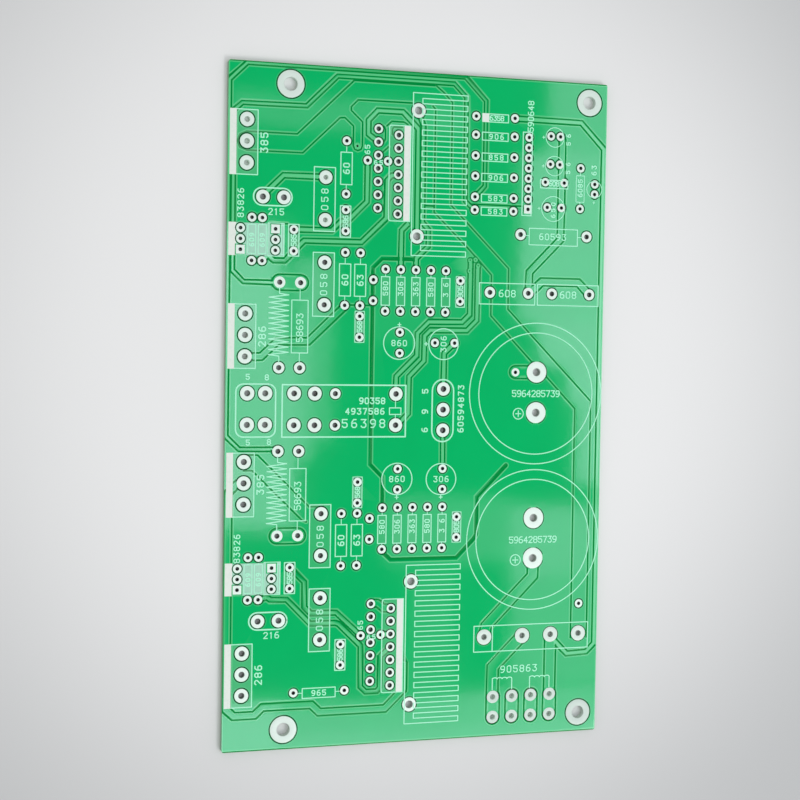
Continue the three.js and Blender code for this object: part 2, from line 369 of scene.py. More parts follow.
# Where the parts with small lands stand: the kind of land, the offsets of its leads, and the
# middles of the parts.
smallFootprints = {
    "uprightResistors": ("small", along(2, pitch["resistor"]),
                         [(5.9, 122.3), (8.4, 122.3), (5.85, 41.55), (8.4, 41.55), (89.55, 137.7)]),
    "resistorRows": ("small", along(2, pitch["resistor"]),
                     [(x + k * pitch["row"], y) for x, y in ((46.6, 111), (46.65, 52.9))
                      for k in range(-2, 3)]),
    "flatResistors": ("small", along(2, pitch["resistor"], False),
                      [(66.6, y) for y in (154.25, 149.7, 144.6, 139.6, 134.5, 131.3)]),
    "longResistors": ("small", along(2, pitch["long"]),
                      [(28.75, 140.15), (28.75, 113.45), (28.65, 50.4)]),
    "flatLongResistor": ("small", along(2, pitch["long"], False), [(23.65, 13.55)]),
    "dampingUpper": ("small", [(x, -y) for x, y in dampingPins], [(32.55, 113.45)]),
    "dampingLower": ("small", dampingPins, [(32.6, 50.4)]),
    "capacitors": ("small", along(2, pitch["capacitor"]),
                   [(16.05, 122.3), (28.75, 127.5), (35.85, 110.9), (58.1, 111.2), (42.75, 98.3),
                    (16.05, 41.45), (28.85, 22.35), (35.75, 52.9), (58.1, 52.9), (42.7, 64.95),
                    (54.25, 64.9)]),
    "flatCapacitors": ("small", along(2, pitch["capacitor"], False),
                       [(36.55, 142.1), (36.45, 26.8), (54.3, 98.4), (82.6, 138.9)]),
    "pinPairs": ("small", along(2, pitch["pin"], False), [(82.65, 150.35), (82.6, 143.4)]),
    "widePair": ("small", along(2, pitch["wide"], False), [(82.6, 132.65)]),
    "lampPins": ("small", along(2, pitch["pin"]), [(93.45, 137.65)]),
    "smallTransistors": ("small", along(3, pitch["pin"]),
                         [(3.2, 122.3), (11.6, 122.3), (3.3, 41.5), (11.6, 41.45)]),
    "protectionChip": ("small", along(8, pitch["pin"]), [(75.55, 140.85)]),
    "driverChips": ("driver", driverPins, [(39.2, 139.65), (38.95, 24.35)]),
    "coils": ("lead", [(i * pitch["pin"], j * pitch["resistor"]) for i in (-1, 1) for j in (-1, 1)],
              [(15.3, 102.1), (15.35, 61.8)]),
    "filmCapacitors": ("lead", along(2, pitch["resistor"], False), [(70.95, 111.1), (87.45, 111.1)]),
    "broadResistor": ("lead", along(2, pitch["broad"], False), [(82.6, 125.65)]),
    "singleHoles": ("small", [(0, 0)], [(73, 91.35), (91.3, 32.7)]),
    "testPoints": ("test", along(2, pitch["capacitor"], False), [(11, 132.35), (10.9, 31.25)]),
    "throughVia": ("via", [(0, 0)], [(31.4, 145.4)]),
}

squarePins = [(11.6, 124.84), (11.6, 43.99), (3.3, 38.96), (3.2, 119.76), (75.55, 131.96)]

lands = []  # kind, x, y, CAD node or None
for node in sorted(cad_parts):
    kind = next((k for prefix, k in cadLands.items() if node.startswith(prefix)), None)
    if kind:
        low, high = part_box(node)
        x, y = ((low.x + high.x) / 2 - boardLow.x) / mm, ((low.y + high.y) / 2 - boardLow.y) / mm
        for name, (usual, (x0, y0, x1, y1), _) in landTones.items():
            if kind == usual and x0 < x < x1 and y0 < y < y1:
                kind = name
        lands.append((kind, x, y, node))
for kind, offsets, middles in smallFootprints.values():
    for x, y in middles:
        for dx, dy in offsets:
            spot = (x + dx, y + dy)
            isSquare = any(math.dist(spot, pin) < 0.3 for pin in squarePins)  # given to about 0.1 mm
            lands.append(("square" if isSquare else kind, *spot, None))
print("lands placed:", len(lands))

# The board's copper layout. A track is a line with the distance between the middles of the two
# clearances beside it; a cut is one clearance line that parts two areas of copper.
copper = {
    "clearance": 0.5,
    "slope": 0.05,
    # the colour over this band is painted lighter: partly the thin mask, partly a painted highlight
    "thinEdge": 0.32,  # the mask runs thin this far from a copper edge
    "fade": 0.6,  # as a share of that, where a line more bends the fading
    "thinness": 0.45,
    "roundLands": 0.3,  # as a share of that
    "narrow": 0.6,  # half the width of a track over which it is thin all the way across
    "narrowThinness": 0.42,
    "border": 0.3,  # without copper at the two short edges; it runs out to the long ones
    "roundedFrom": 0.9,  # half the width of a track that ends round, beside a smaller land
    "endSides": (20, 16),  # of the circles round a track's end and a cut's
    "viaOpening": 0.06,  # mm from a bare via's hole to the mask
    "mistEdge": 0.03,
    "nudge": 0.01,  # keeps two lines from falling together
    "shortOfOutline": 0.12,  # where the lines along the short edges end
    "beyond": 9.0,  # farther than any clearance reaches
    "touching": 1e-4,
}

tracks = [
    (1.0, [(12.8, 71.95), (11.6, 72.45), (3.4, 72.45), (0.2, 75.6), (0.2, 159.4), (4.45, 163.6),
           (58.6, 163.6), (64.1, 158.1), (64.1, 137.2), (61.5, 134.5)]),
    (1.0, [(12.75, 112.15), (4.0, 112.15), (1.33, 114.8), (1.33, 152.3), (3.35, 154.2), (18.85, 154.2),
           (26.3, 161.8), (55.8, 161.8), (58.95, 158.7), (58.95, 133.3), (61.5, 131.3)]),
    (1.27, [(36.65, 146.7), (34.05, 148.4), (34.05, 151.75), (36.35, 154.2), (42.75, 154.2),
            (46.7, 150.3), (46.7, 124.3)]),
    (1.25, [(16.05, 124.9), (25.3, 124.9), (27.6, 127.2), (29.4, 127.6), (34.0, 132.15), (34.0, 142.1)]),
    (1.25, [(16.05, 119.75), (18.6, 122.35), (32.75, 122.35), (38.9, 128.4), (38.95, 137.6),
            (40.0, 138.7), (41.75, 139)]),
    (1.25, [(42.75, 116.1), (42.75, 125.6), (44.5, 127.3)]),
    (1.2, [(46.6, 116.1), (46.6, 118.9), (49.7, 121.9), (49.7, 126.0), (48.0, 127.7), (48.0, 151.0),
           (46.7, 154.4)]),
    (1.3, [(23.7, 137.6), (13.4, 137.65), (8.46, 132.6)]),
    (1.2, [(8.4, 117.3), (9.9, 118.6), (11.2, 117.35), (13.9, 117.35), (16.05, 119.7)]),
    (1.85, [(83.9, 150.35), (84.45, 149.5), (84.45, 124.7), (76.2, 116.4), (76.1, 111.1)]),
    (2.0, [(76.1, 111.1), (78.2, 112.7), (79.6, 114.1), (89.5, 114.1), (92.5, 111.1)]),
    (1.3, [(71.7, 154.2), (89.5, 154.15), (95.75, 147.85), (95.75, 22.35), (93.6, 20.2), (88.2, 19.95),
           (83.7, 24.6)]),
    (1.8, [(4.6, 94.5), (8.5, 94.5), (12.3, 98.25), (19.9, 98.25), (28.2, 106.3), (28.75, 107.1)]),
    (1.3, [(54.15, 87.1), (54.15, 95.9), (56.8, 98.4)]),
    (1.1, [(54.15, 76.9), (54.25, 67.4)]),
    (1.9, [(4.6, 64.4), (3.0, 64.2), (0.9, 62.1), (0.9, 10.4), (2.75, 8.6), (7.8, 8.6), (9.7, 10.5),
           (21.8, 10.5), (23.7, 8.5), (40.3, 8.5), (44.9, 13.0), (44.9, 19.5)]),
    (2.9, [(78.55, 44.6), (78.6, 40.1), (66.4, 28.0), (65.9, 25.1)]),
    (3.1, [(76.06, 25.1), (68.3, 17.45), (68.3, 9.9)]),
    (3.05, [(83.7, 25.1), (83.65, 9.9)]),
    # from the relay's coil to the vias, and its return
    (1.25, [(41.95, 85.8), (41.95, 90.15), (47.2, 95.2), (47.2, 100.7), (50.1, 103.55),
            (58.75, 103.55), (60.7, 105.5), (60.7, 118.8)]),
    (1.25, [(42.0, 78.2), (43.6, 79.4), (45.2, 81.0), (45.2, 90.1), (49.05, 93.9), (49.05, 100.1),
            (50.5, 101.5), (60.0, 101.5), (62.6, 104.1), (62.6, 117.6)]),
    # lower channel, from the small transistors to the driver
    (1.2, [(16.05, 44.0), (17.0, 43.1), (19.7, 40.4), (19.7, 34.3), (21.4, 32.7), (27.7, 32.7),
           (33.9, 26.8)]),
    (1.2, [(8.4, 36.5), (10.6, 37.0), (11.4, 36.3), (15.4, 36.3), (21.2, 30.2), (27.5, 30.2),
           (28.3, 29.9), (33.95, 24.3), (33.95, 14.2), (35.3, 12.9), (38.2, 12.9), (38.9, 13.8),
           (38.9, 21.5), (41.5, 23.7)]),
    (1.9, [(36.4, 34.6), (38.2, 34.6), (39.5, 33.4), (41.5, 33.3)]),
]

# Pairs of lands on one island of copper: half its width and the two ends
islands = [
    (1.64, (12.76, 112.26), (17.84, 112.26)),
    (1.64, (12.81, 51.64), (17.89, 51.64)),
    (1.34, (73.0, 91.4), (78.65, 91.4)),
    (1.52, (68.5, 4.8), (68.5, 9.9)),
    (1.52, (73.6, 4.8), (73.6, 9.9)),
    (1.52, (78.65, 4.8), (78.65, 9.9)),
    (1.52, (83.7, 4.8), (83.7, 9.9)),
    (0.5, (39.0, 26.8), (41.5, 26.9)),
]

# Copper that crosses a land's clearance and joins it to the area around, in the same order
spokes = [
    (0.9, (78.65, 41.4), (78.65, 49.4)), (0.9, (74.4, 44.6), (82.8, 44.6)),
    (0.8, (78.65, 93.5), (78.65, 96.6)), (0.8, (76.0, 81.3), (73.4, 81.3)),
    (0.8, (81.3, 81.3), (84.0, 81.3)), (0.8, (78.65, 78.6), (78.65, 76.0)),
    (0.7, (78.55, 54.8), (78.55, 58.4)),
    (0.36, (96.5, 22.0), (96.5, 148.2)), (0.3, (-0.1, 11.2), (-0.1, 61.4)),  # out to the long edges
]

cuts = [
    (1.05, [(46.4, 118.65), (38.0, 118.65), (35.7, 116.4), (35.65, 68.6), (38.85, 65.5), (38.9, 59.5)]),
    (0.5, [(4.3, 164.0), (0.0, 160.1)]),
    (0.8, [(50.6, 161.15), (30.5, 161.15)]),
    (0.5, [(30.5, 161.1), (16.6, 147.5), (4.5, 147.5), (2.8, 146.7), (2.2, 145.2), (2.8, 143.7),
            (4.5, 143.1), (18.0, 143.1), (27.0, 151.9), (28.2, 152.0), (30.35, 150.1), (30.35, 145.4),
            (30.7, 144.6), (31.5, 144.3), (32.3, 144.6), (32.6, 145.4), (32.6, 151.2),
            (29.75, 153.8), (29.75, 154.7), (31.4, 156.4), (45.2, 156.45)]),
    (0.5, [(50.9, 161.15), (53.2, 159.35), (55.3, 157.2), (55.3, 132.2), (59.8, 127.8), (70.7, 117.1),
           (70.7, 107.0), (93.5, 84.2), (93.6, 24.0)]),
    (0.5, [(50.3, 156.0), (51.0, 155.3), (51.0, 130.3), (59.6, 122.1), (66.2, 115.4), (66.2, 105.3),
           (77.3, 94.0)]),
    (0.5, [(81.0, 90.6), (89.2, 82.3), (89.2, 24.0)]),
    (0.5, [(48.6, 131.8), (51.0, 131.8)]),
    (0.5, [(37.0, 151.0), (38.0, 150.4), (38.35, 149.8), (38.35, 147.3), (37.5, 146.2)]),
    (0.5, [(38.7, 150.6), (39.9, 151.75), (43.0, 151.75), (44.0, 151.2)]),
    (0.5, [(40.1, 148.6), (40.1, 150.0), (40.5, 150.45), (42.6, 150.45)]),
    (0.5, [(37.7, 144.2), (39.3, 145.7)]),
    (1.15, [(70.9, 68.1), (63.3, 60.3), (63.35, 51.0), (62.7, 49.9), (58.2, 45.2), (41.2, 45.2),
           (39.4, 46.9)]),
    (0.5, [(4.6, 71.2), (7.9, 71.1), (20.6, 58.55), (24.2, 58.6)]),
    (0.5, [(4.6, 67.4), (6.6, 67.4), (18.9, 55.3), (20.0, 54.9)]),
    (0.5, [(60.0, 132.65), (74.0, 132.65)]),
    (0.5, [(10.2, 126.15), (14.5, 126.15)]),
    (0.5, [(45.8, 19.3), (45.8, 12.4)]),
    (0.5, [(7.3, 120.5), (8.5, 119.3)]),
    (0.5, [(28.75, 107.2), (35.8, 107.2)]),
    (0.7, [(0.7, 126.0), (0.7, 137.2)]),
]

# Vias under the mask, by the relay's tracks; radii in mm
tentedVia = {"hole": 0.2, "land": 0.55, "clearance": 0.3, "sides": 14,
             "lines": (0.14, 0.24, 0.55, 0.62, 0.78, 0.85, 1.05)}
tentedVias = [(60.55, 118.9), (61.95, 119.0), (62.7, 117.6), (60.45, 116.25)]


def offsetLine(points, distance):
    path = [Vector(p) for p in points]
    moved = []
    for i, p in enumerate(path):
        before = (p - path[i - 1]).normalized() if i else None
        after = (path[i + 1] - p).normalized() if i < len(path) - 1 else None
        before, after = before or after, after or before
        middle = (before + after).normalized()
        normal = Vector((-middle.y, middle.x))
        stretch = 1 / max(0.5, normal.dot(Vector((-after.y, after.x))))
        moved.append(tuple(p + normal * distance * stretch))
    return moved


def arc(x, y, radius, turns):
    return [(x + radius * math.cos(turn), y + radius * math.sin(turn)) for turn in turns]


def polygon(x, y, radius, sides):
    return arc(x, y, radius, [2 * math.pi * k / sides for k in range(sides)])


def rectangle(x0, y0, x1, y1):
    return [(x0, y0), (x1, y0), (x1, y1), (x0, y1)]


# A loop in the shape of a land
def loopRound(kind, x, y, reach, sides):
    if kind != "square":
        return polygon(x, y, reach, sides)
    return [(x + i * reach, y + j * reach) for i, j in ((1, -1), (1, 1), (-1, 1), (-1, -1))]


cornerRadius = 0.5
outline = []
for cx, cy, start in (
        (cornerRadius, cornerRadius, math.pi), (boardWidth - cornerRadius, cornerRadius, -math.pi / 2),
        (boardWidth - cornerRadius, boardLength - cornerRadius, 0.0),
        (cornerRadius, boardLength - cornerRadius, math.pi / 2)):
    outline += arc(cx, cy, cornerRadius, [start + k * math.pi / 8 for k in range(5)])


# Triangles that fill the boundary but not the openings, with an edge along every line
def fillFlat(openings, lines, boundary=outline):
    closest, sliver = 1e-4, 1e-9  # mm, and mm2
    spots, edges = [], []

    def trace(points, closed):
        first = len(spots)
        spots.extend(Vector(p) for p in points)
        edges.extend((first + i, first + i + 1) for i in range(len(points) - 1))
        if closed:
            edges.append((first + len(points) - 1, first))

    trace(boundary, True)
    for opening in openings:
        trace(loopRound(*opening), True)
    for points, closed in lines:
        trace(points, closed)
    verts, _, faces, _, _, _ = delaunay_2d_cdt(spots, edges, [], 0, closest, False)
    spot = np.array([tuple(v) for v in verts])
    tri = np.array(faces, int)
    a, b, c = (spot[tri[:, k]] for k in range(3))
    area = (b[:, 0] - a[:, 0]) * (c[:, 1] - a[:, 1]) - (b[:, 1] - a[:, 1]) * (c[:, 0] - a[:, 0])
    tri[area < -sliver] = tri[area < -sliver][:, ::-1]
    middle = (a + b + c) / 3
    inside = np.zeros(len(tri), bool)  # of the boundary, by crossings
    for (x0, y0), (x1, y1) in zip(boundary, boundary[1:] + boundary[:1]):
        if y0 != y1:
            crosses = (middle[:, 1] < max(y0, y1)) & (middle[:, 1] >= min(y0, y1))
            inside ^= crosses & (middle[:, 0] < x0 + (middle[:, 1] - y0) * (x1 - x0) / (y1 - y0))
    keep = inside & (np.abs(area) > sliver)
    for kind, x, y, size, sides in openings:
        near = np.hypot(middle[:, 0] - x, middle[:, 1] - y)
        close = np.nonzero(near < size * 1.5)[0]  # a square's corners too
        dx, dy = middle[close, 0] - x, middle[close, 1] - y
        if kind == "square":
            within = (np.abs(dx) < size) & (np.abs(dy) < size)
        else:
            step = 2 * math.pi / sides
            turn = np.mod(np.arctan2(dy, dx), step) - step / 2
            within = near[close] * np.cos(turn) < size * math.cos(step / 2)
        keep[close[within]] = False
    tri = tri[keep]
    used = np.unique(tri)
    renumber = np.full(len(spot), -1)
    renumber[used] = np.arange(len(used))
    return spot[used], renumber[tri]


# A closed plate: the flat fill at one height, and at another a copy of it, or a plain fill with the
# same openings, joined by walls round each boundary
def closePlate(name, spot, tri, faceHeight, backHeight, values=(), openings=None):
    count = len(spot)
    directed = dict.fromkeys((int(f[i]), int(f[(i + 1) % 3])) for f in tri for i in range(3))
    border = [(a, b) for a, b in directed if (b, a) not in directed]
    backSpot, backTri, behind = spot, tri, range(count)
    if openings is not None:
        backSpot, backTri = fillFlat(openings, [([spot[a], spot[b]], False) for a, b in border])
        finder = KDTree(len(backSpot))
        for i, (x, y) in enumerate(backSpot):
            finder.insert((x, y, 0), i)
        finder.balance()
        behind = {a: finder.find((*spot[a], 0))[1] for a, _ in border}
    places = [toFrame(x, y, z) for (x, y), z in zip(spot, np.broadcast_to(faceHeight, count))]
    backHeights = np.broadcast_to(backHeight, len(backSpot))
    places += [toFrame(x, y, z) for (x, y), z in zip(backSpot, backHeights)]
    faces = [tuple(map(int, f)) for f in tri] + [tuple(int(i) + count for i in f[::-1]) for f in backTri]
    for a, b in border:  # two spots very close together can share one behind them
        corners = (behind[a] + count, behind[b] + count, b, a)
        faces.append(corners[1:] if corners[0] == corners[1] else corners)
    if np.mean(faceHeight) < np.mean(backHeight):  # the face looks down
        faces = [f[::-1] for f in faces]
    mesh = newMesh(name, places, faces=faces)
    for label, level in dict(values).items():
        mesh.attributes.new(label, "FLOAT", "POINT").data.foreach_set(
            "value", np.concatenate([level, np.zeros(len(backSpot))]).astype(np.float32))
    mesh.validate()
    return mesh


# Heights in mm above the board's underside. A hole is drilled wider for its plated barrel.
laminate = {"bottom": 0.05, "top": 1.53, "drillAllowance": 0.1, "drilledSides": 24}
maskLevels = {"overCopper": 1.572, "overLaminate": 1.54, "inside": 1.51, "thinDrop": 0.003}

drilled = [("round", x, y, landKinds[kind]["hole"] / 2 + laminate["drillAllowance"],
            min(landKinds[kind]["sides"], laminate["drilledSides"])) for kind, x, y, _ in lands]
spot, tri = fillFlat(drilled, [])
laminateMesh = closePlate("boardLaminate", spot, tri, laminate["top"], laminate["bottom"])
finishPiece("boardLaminate", laminateMesh, laminateMaterial, ["board"])
print("laminate cut:", len(tri) * 2, "faces")


# Signed distance from each spot to the edge of the nearest clearance, below zero inside it, and
# whether the spot is on a narrow track. Shapes are lines with half their width and the clearance
# round them, parting lines have half a clearance, and bridges have half their width.
def edgeDistance(spot, shapes, parting, bridges):
    def reach(line):
        (ax, ay), (bx, by) = line
        dx, dy = bx - ax, by - ay
        span = dx * dx + dy * dy
        t = np.zeros(len(spot)) if span == 0 else np.clip(
            ((spot[:, 0] - ax) * dx + (spot[:, 1] - ay) * dy) / span, 0, 1)
        return np.hypot(spot[:, 0] - ax - t * dx, spot[:, 1] - ay - t * dy)

    nearest, deepest = np.full((2, len(spot)), copper["beyond"])
    narrow = np.zeros(len(spot), bool)
    for half, gapWidth, line in shapes:
        away = reach(line) - half
        if half < copper["narrow"]:
            narrow |= away < copper["touching"]
        deepest = np.minimum(deepest, away)
        nearest = np.minimum(nearest, np.abs(away - gapWidth / 2) - gapWidth / 2)
    for half, line in parting:
        nearest = np.minimum(nearest, reach(line) - half)
    border = np.minimum(np.minimum(spot[:, 0], boardWidth - spot[:, 0]),
                        np.minimum(spot[:, 1], boardLength - spot[:, 1]) - copper["border"])
    nearest = np.where(deepest < 0, -deepest, nearest)
    for half, line in bridges:
        away = reach(line) - half
        nearest = np.where(away < 0, np.maximum(nearest, np.minimum(-away, 1)), nearest)
    return np.minimum(nearest, border), narrow


def segments(points):
    return list(zip(points, points[1:]))


# One face's mask: it lies higher over copper than over laminate and runs thin at copper edges, and
# its attributes tell the finish where it does so. The finish paints the mask lighter there, partly
# for the thin mask and partly as a painted highlight.
def coatFace(name, tracks, islands=(), spokes=(), cuts=(), vias=(), mists=(), upwards=True):
    gap, slope, thin = copper["clearance"], copper["slope"], copper["thinEdge"]
    fade, nudge, rim = thin * copper["fade"], copper["nudge"], copper["border"]
    shapes, parting, lines, openings = [], [], [], []

    def beside(points, *reaches):
        lines.extend((offsetLine(points, side * reach), False) for side in (-1, 1) for reach in reaches)

    def roundAbout(x, y, sides, *reaches):
        lines.extend((polygon(x, y, reach, sides), True) for reach in reaches)

    for spacing, points in tracks:
        half = (spacing - gap) / 2
        shapes += [(half, gap, line) for line in segments(points)]
        beside(points, half, half + slope, half + gap / 2, half + gap - slope, half + gap,
               half + gap + fade, half + gap + thin)
        if half > copper["roundedFrom"]:
            for x, y in (points[0], points[-1]):
                roundAbout(x, y, copper["endSides"][0], half, half + slope, half + gap / 2, half + gap,
                           half + gap + thin)
        if half > thin + slope:
            beside(points, half - thin, half - fade)
    for half, a, b in islands:
        shapes.append((half, gap, (a, b)))
        turn = math.atan2(b[1] - a[1], b[0] - a[0])
        for reach in (half, half + slope, half + gap / 2, half + gap - slope, half + gap,
                      half + gap + thin):
            ends = [arc(*end, reach, [turn + start + k * math.pi / 10 for k in range(11)])
                    for end, start in ((a, math.pi / 2), (b, -math.pi / 2))]
            lines.append((ends[0] + ends[1], True))
    for gapWidth, points in cuts:
        half = gapWidth / 2
        parting += [(half, line) for line in segments(points)]
        for x, y in (points[0], points[-1]):
            roundAbout(x, y, copper["endSides"][1], half - slope, half, half + thin)
        lines.append((points, False))
        beside(points, half - slope, half, half + fade, half + thin)
    for half, a, b in spokes:
        beside([a, b], half)
    for kind, x, y, _ in lands:
        look = landKinds[kind]
        radius, ring = look["land"] / 2, (look["clear"] - look["land"]) / 2
        shapes.append((radius, ring, ((x, y), (x, y))))
        bare = radius + nudge if kind != "via" else look["hole"] / 2 + copper["viaOpening"]
        openings.append((kind, x, y, bare, look["sides"]))
        for reach in (radius + ring / 2, radius + ring - min(slope, ring * 0.4), radius + ring,
                      radius + ring + fade, radius + ring + thin):
            lines.append((loopRound(kind, x, y, reach, look["sides"]), True))
    for x, y in vias:
        shapes.append((tentedVia["land"], tentedVia["clearance"], ((x, y), (x, y))))
        roundAbout(x, y, tentedVia["sides"], *tentedVia["lines"])
    short = copper["shortOfOutline"]
    for reach in (rim - slope, rim, rim + thin):
        for y in (reach, boardLength - reach):
            lines.append(([(short, y), (boardWidth - short, y)], False))
    for x in (thin, boardWidth - thin):
        lines.append(([(x, rim), (x, boardLength - rim)], False))
    for _, (x0, y0, x1, y1) in mists:
        for inset in (0, copper["mistEdge"]):
            lines.append((rectangle(x0 + inset, y0 + inset, x1 - inset, y1 - inset), True))
    spot, tri = fillFlat(openings, lines)
    across, up = spot[:, 0], spot[:, 1]
    edge, narrow = edgeDistance(spot, shapes, parting, [(half, (a, b)) for half, a, b in spokes])
    for x, y in vias:
        edge = np.minimum(edge, np.hypot(across - x, up - y) - tentedVia["hole"])
    nearLand, besideLand = np.zeros((2, len(spot)), bool)
    for kind, x, y, _ in lands:
        look = landKinds[kind]
        if kind != "via":
            away = np.hypot(across - x, up - y) - look["land"] / 2
            ring = (look["clear"] - look["land"]) / 2
            nearLand |= away < ring - slope * 0.5  # in the groove round it
            besideLand |= away < ring + thin * 0.8  # or on the copper just outside
    inGap = np.clip(-edge / slope, 0, 1)
    # painted lighter by the finish: partly the thin mask, partly a painted highlight
    thinningAndHighlight = np.clip(1 - (edge / thin) ** 2, 0, 1) * copper["thinness"]
    thinningAndHighlight[besideLand & ~narrow] *= copper["roundLands"]
    thinningAndHighlight[narrow] = copper["narrowThinness"]
    thinningAndHighlight[edge < -copper["touching"]] = 0
    mist = np.zeros(len(spot))
    for level, (x0, y0, x1, y1) in mists:
        within = ((across > x0 + nudge) & (across < x1 - nudge) & (up > y0 + nudge) & (up < y1 - nudge))
        mist[within & ~nearLand] = level
    sunk = np.clip(-2 * edge / gap, 0, 1)  # each gap is a shallow groove
    outer = maskLevels["overCopper"] + (maskLevels["overLaminate"] - maskLevels["overCopper"]) * sunk
    outer, inner = outer - maskLevels["thinDrop"] * thinningAndHighlight, maskLevels["inside"]
    if not upwards:
        outer, inner = boardThickness - outer, boardThickness - inner
    mesh = closePlate(name, spot, tri, outer, inner, {
        "gap": inGap, "edge": thinningAndHighlight, "ring": inGap * nearLand, "mist": mist}, openings)
    finishPiece(name, mesh, maskMaterial)
    print(name, "coated:", len(mesh.polygons), "faces")


# Outlines with a mist of legend ink in them: how much, and their corners
mists = [(0.16, (2.0, y - 7.6, 7.1, y + 7.6)) for y in (145.0, 99.3, 64.0, 18.3)]
mists += [(0.3, (x - 1.3, y - 3.75, x + 1.25, y + 3.75)) for x, y in (
    (16.05, 122.3), (28.7, 127.2), (28.8, 22.3), (16.05, 41.45), (32.55, 102.0), (32.6, 61.85))]
mists += [(0.1, (x - 2.3, y - 7.6, x + 2.9, y + 7.6)) for x, y in (
    (23.15, 111.95), (23.1, 51.35), (23.2, 31.0))]
mists += [(0.25, (57.0, y - 3.75, 59.25, y + 3.75)) for y in (111.0, 52.9)]
mists += [(0.14, (x + 0.25, y - 11.45, x + 4.0, y + 11.5)) for x, y in ((39.2, 139.3), (38.95, 23.85))]
mists += [(0.1, (45.6 + k * pitch["row"], y - 3.6, 47.65 + k * pitch["row"], y + 3.2))
          for k in range(-2, 3) for y in (111.0, 52.9)]

coatFace("solderMaskTop", tracks, islands, spokes, cuts, tentedVias, mists)

# The underside's tracks join lands by the shortest way on a grid, in steps of 45 degrees, clear of
# every other land and of the tracks laid before. Each has the distance between the middles of the
# clearances beside it and the places of its two lands.
underside = {
    "grid": 0.635,
    "signal": 1.3,
    "supply": 2.6,
    "rim": 2.0,  # mm kept free at the board's edge
    "turning": 0.4,  # what a corner costs, in steps
    "spare": 0.05,  # mm more than the clearance between two tracks
    "mirror": 163.9,  # the lower channel is the upper one, mirrored about half this height
}

supplyJoins = [((78.6, 91.3), (82.4, 111.1)), ((78.6, 81.3), (65.9, 111.1)), ((78.6, 44.6), (78.6, 54.8)),
               ((83.7, 25.1), (91.3, 32.7)), ((68.4, 25.1), (68.5, 9.9)), ((91.5, 25.1), (83.7, 9.9)),
               ((76.1, 25.1), (73.6, 9.9)), ((54.3, 76.9), (54.3, 67.4)), ((54.2, 87.1), (56.8, 98.4)),
               ((42.0, 85.8), (42.7, 95.8)), ((42.0, 78.2), (42.7, 67.5))]
channelJoins = [
    ((4.5, 145.0), (23.15, 137.3)), ((4.6, 99.3), (17.8, 91.9)), ((17.8, 112.3), (23.15, 106.8)),
    ((4.5, 139.9), (13.5, 132.4)), ((8.4, 127.4), (8.5, 132.4)), ((16.05, 124.8), (28.75, 125.0)),
    ((11.6, 122.3), (5.9, 127.4)), ((3.2, 122.3), (5.9, 117.2)), ((11.6, 119.8), (12.8, 112.3)),
    ((28.75, 133.8), (28.75, 130.0)), ((28.75, 146.5), (31.4, 145.4)), ((32.55, 119.8), (28.75, 119.8)),
    ((28.75, 107.1), (32.55, 107.1)), ((35.85, 113.4), (36.7, 130.8)), ((38.9, 105.9), (35.85, 108.4)),
    ((38.9, 116.1), (41.7, 129.5)), ((42.75, 105.9), (42.75, 100.8)), ((46.6, 105.9), (51.8, 98.4)),
    ((46.6, 116.1), (36.7, 134.0)), ((50.45, 116.1), (41.7, 132.7)), ((54.3, 116.1), (58.1, 113.7)),
    ((54.3, 105.9), (58.1, 108.7)), ((34.0, 142.1), (36.7, 143.5)), ((39.1, 142.1), (41.7, 142.2)),
    ((23.15, 126.8), (34.0, 142.1)), ((46.7, 154.4), (41.7, 148.5)), ((36.7, 149.8), (28.75, 146.5)),
]
cornerJoins = [
    ((61.5, 154.2), (61.5, 149.7)), ((71.7, 149.7), (75.55, 149.7)), ((71.7, 144.6), (75.55, 144.7)),
    ((71.7, 139.6), (75.55, 139.6)), ((71.7, 134.5), (75.55, 134.5)), ((81.4, 150.35), (75.55, 147.2)),
    ((81.3, 143.4), (75.55, 142.1)), ((80.1, 138.9), (75.55, 137.0)), ((89.55, 132.6), (84.5, 132.65)),
    ((89.55, 142.8), (93.45, 138.9)), ((93.45, 136.4), (91.5, 125.65)), ((73.7, 125.65), (71.7, 131.3)),
    ((83.9, 143.4), (85.1, 138.9)), ((61.5, 144.6), (61.5, 139.6)), ((83.9, 150.35), (89.55, 142.8)),
    ((61.5, 154.2), (46.7, 119.7)), ((61.5, 131.3), (58.1, 113.7)), ((92.5, 111.1), (91.5, 125.65)),
    ((54.2, 82.0), (42.0, 85.8)), ((9.9, 85.8), (12.8, 91.9)), ((9.9, 78.2), (12.8, 71.95)),
]


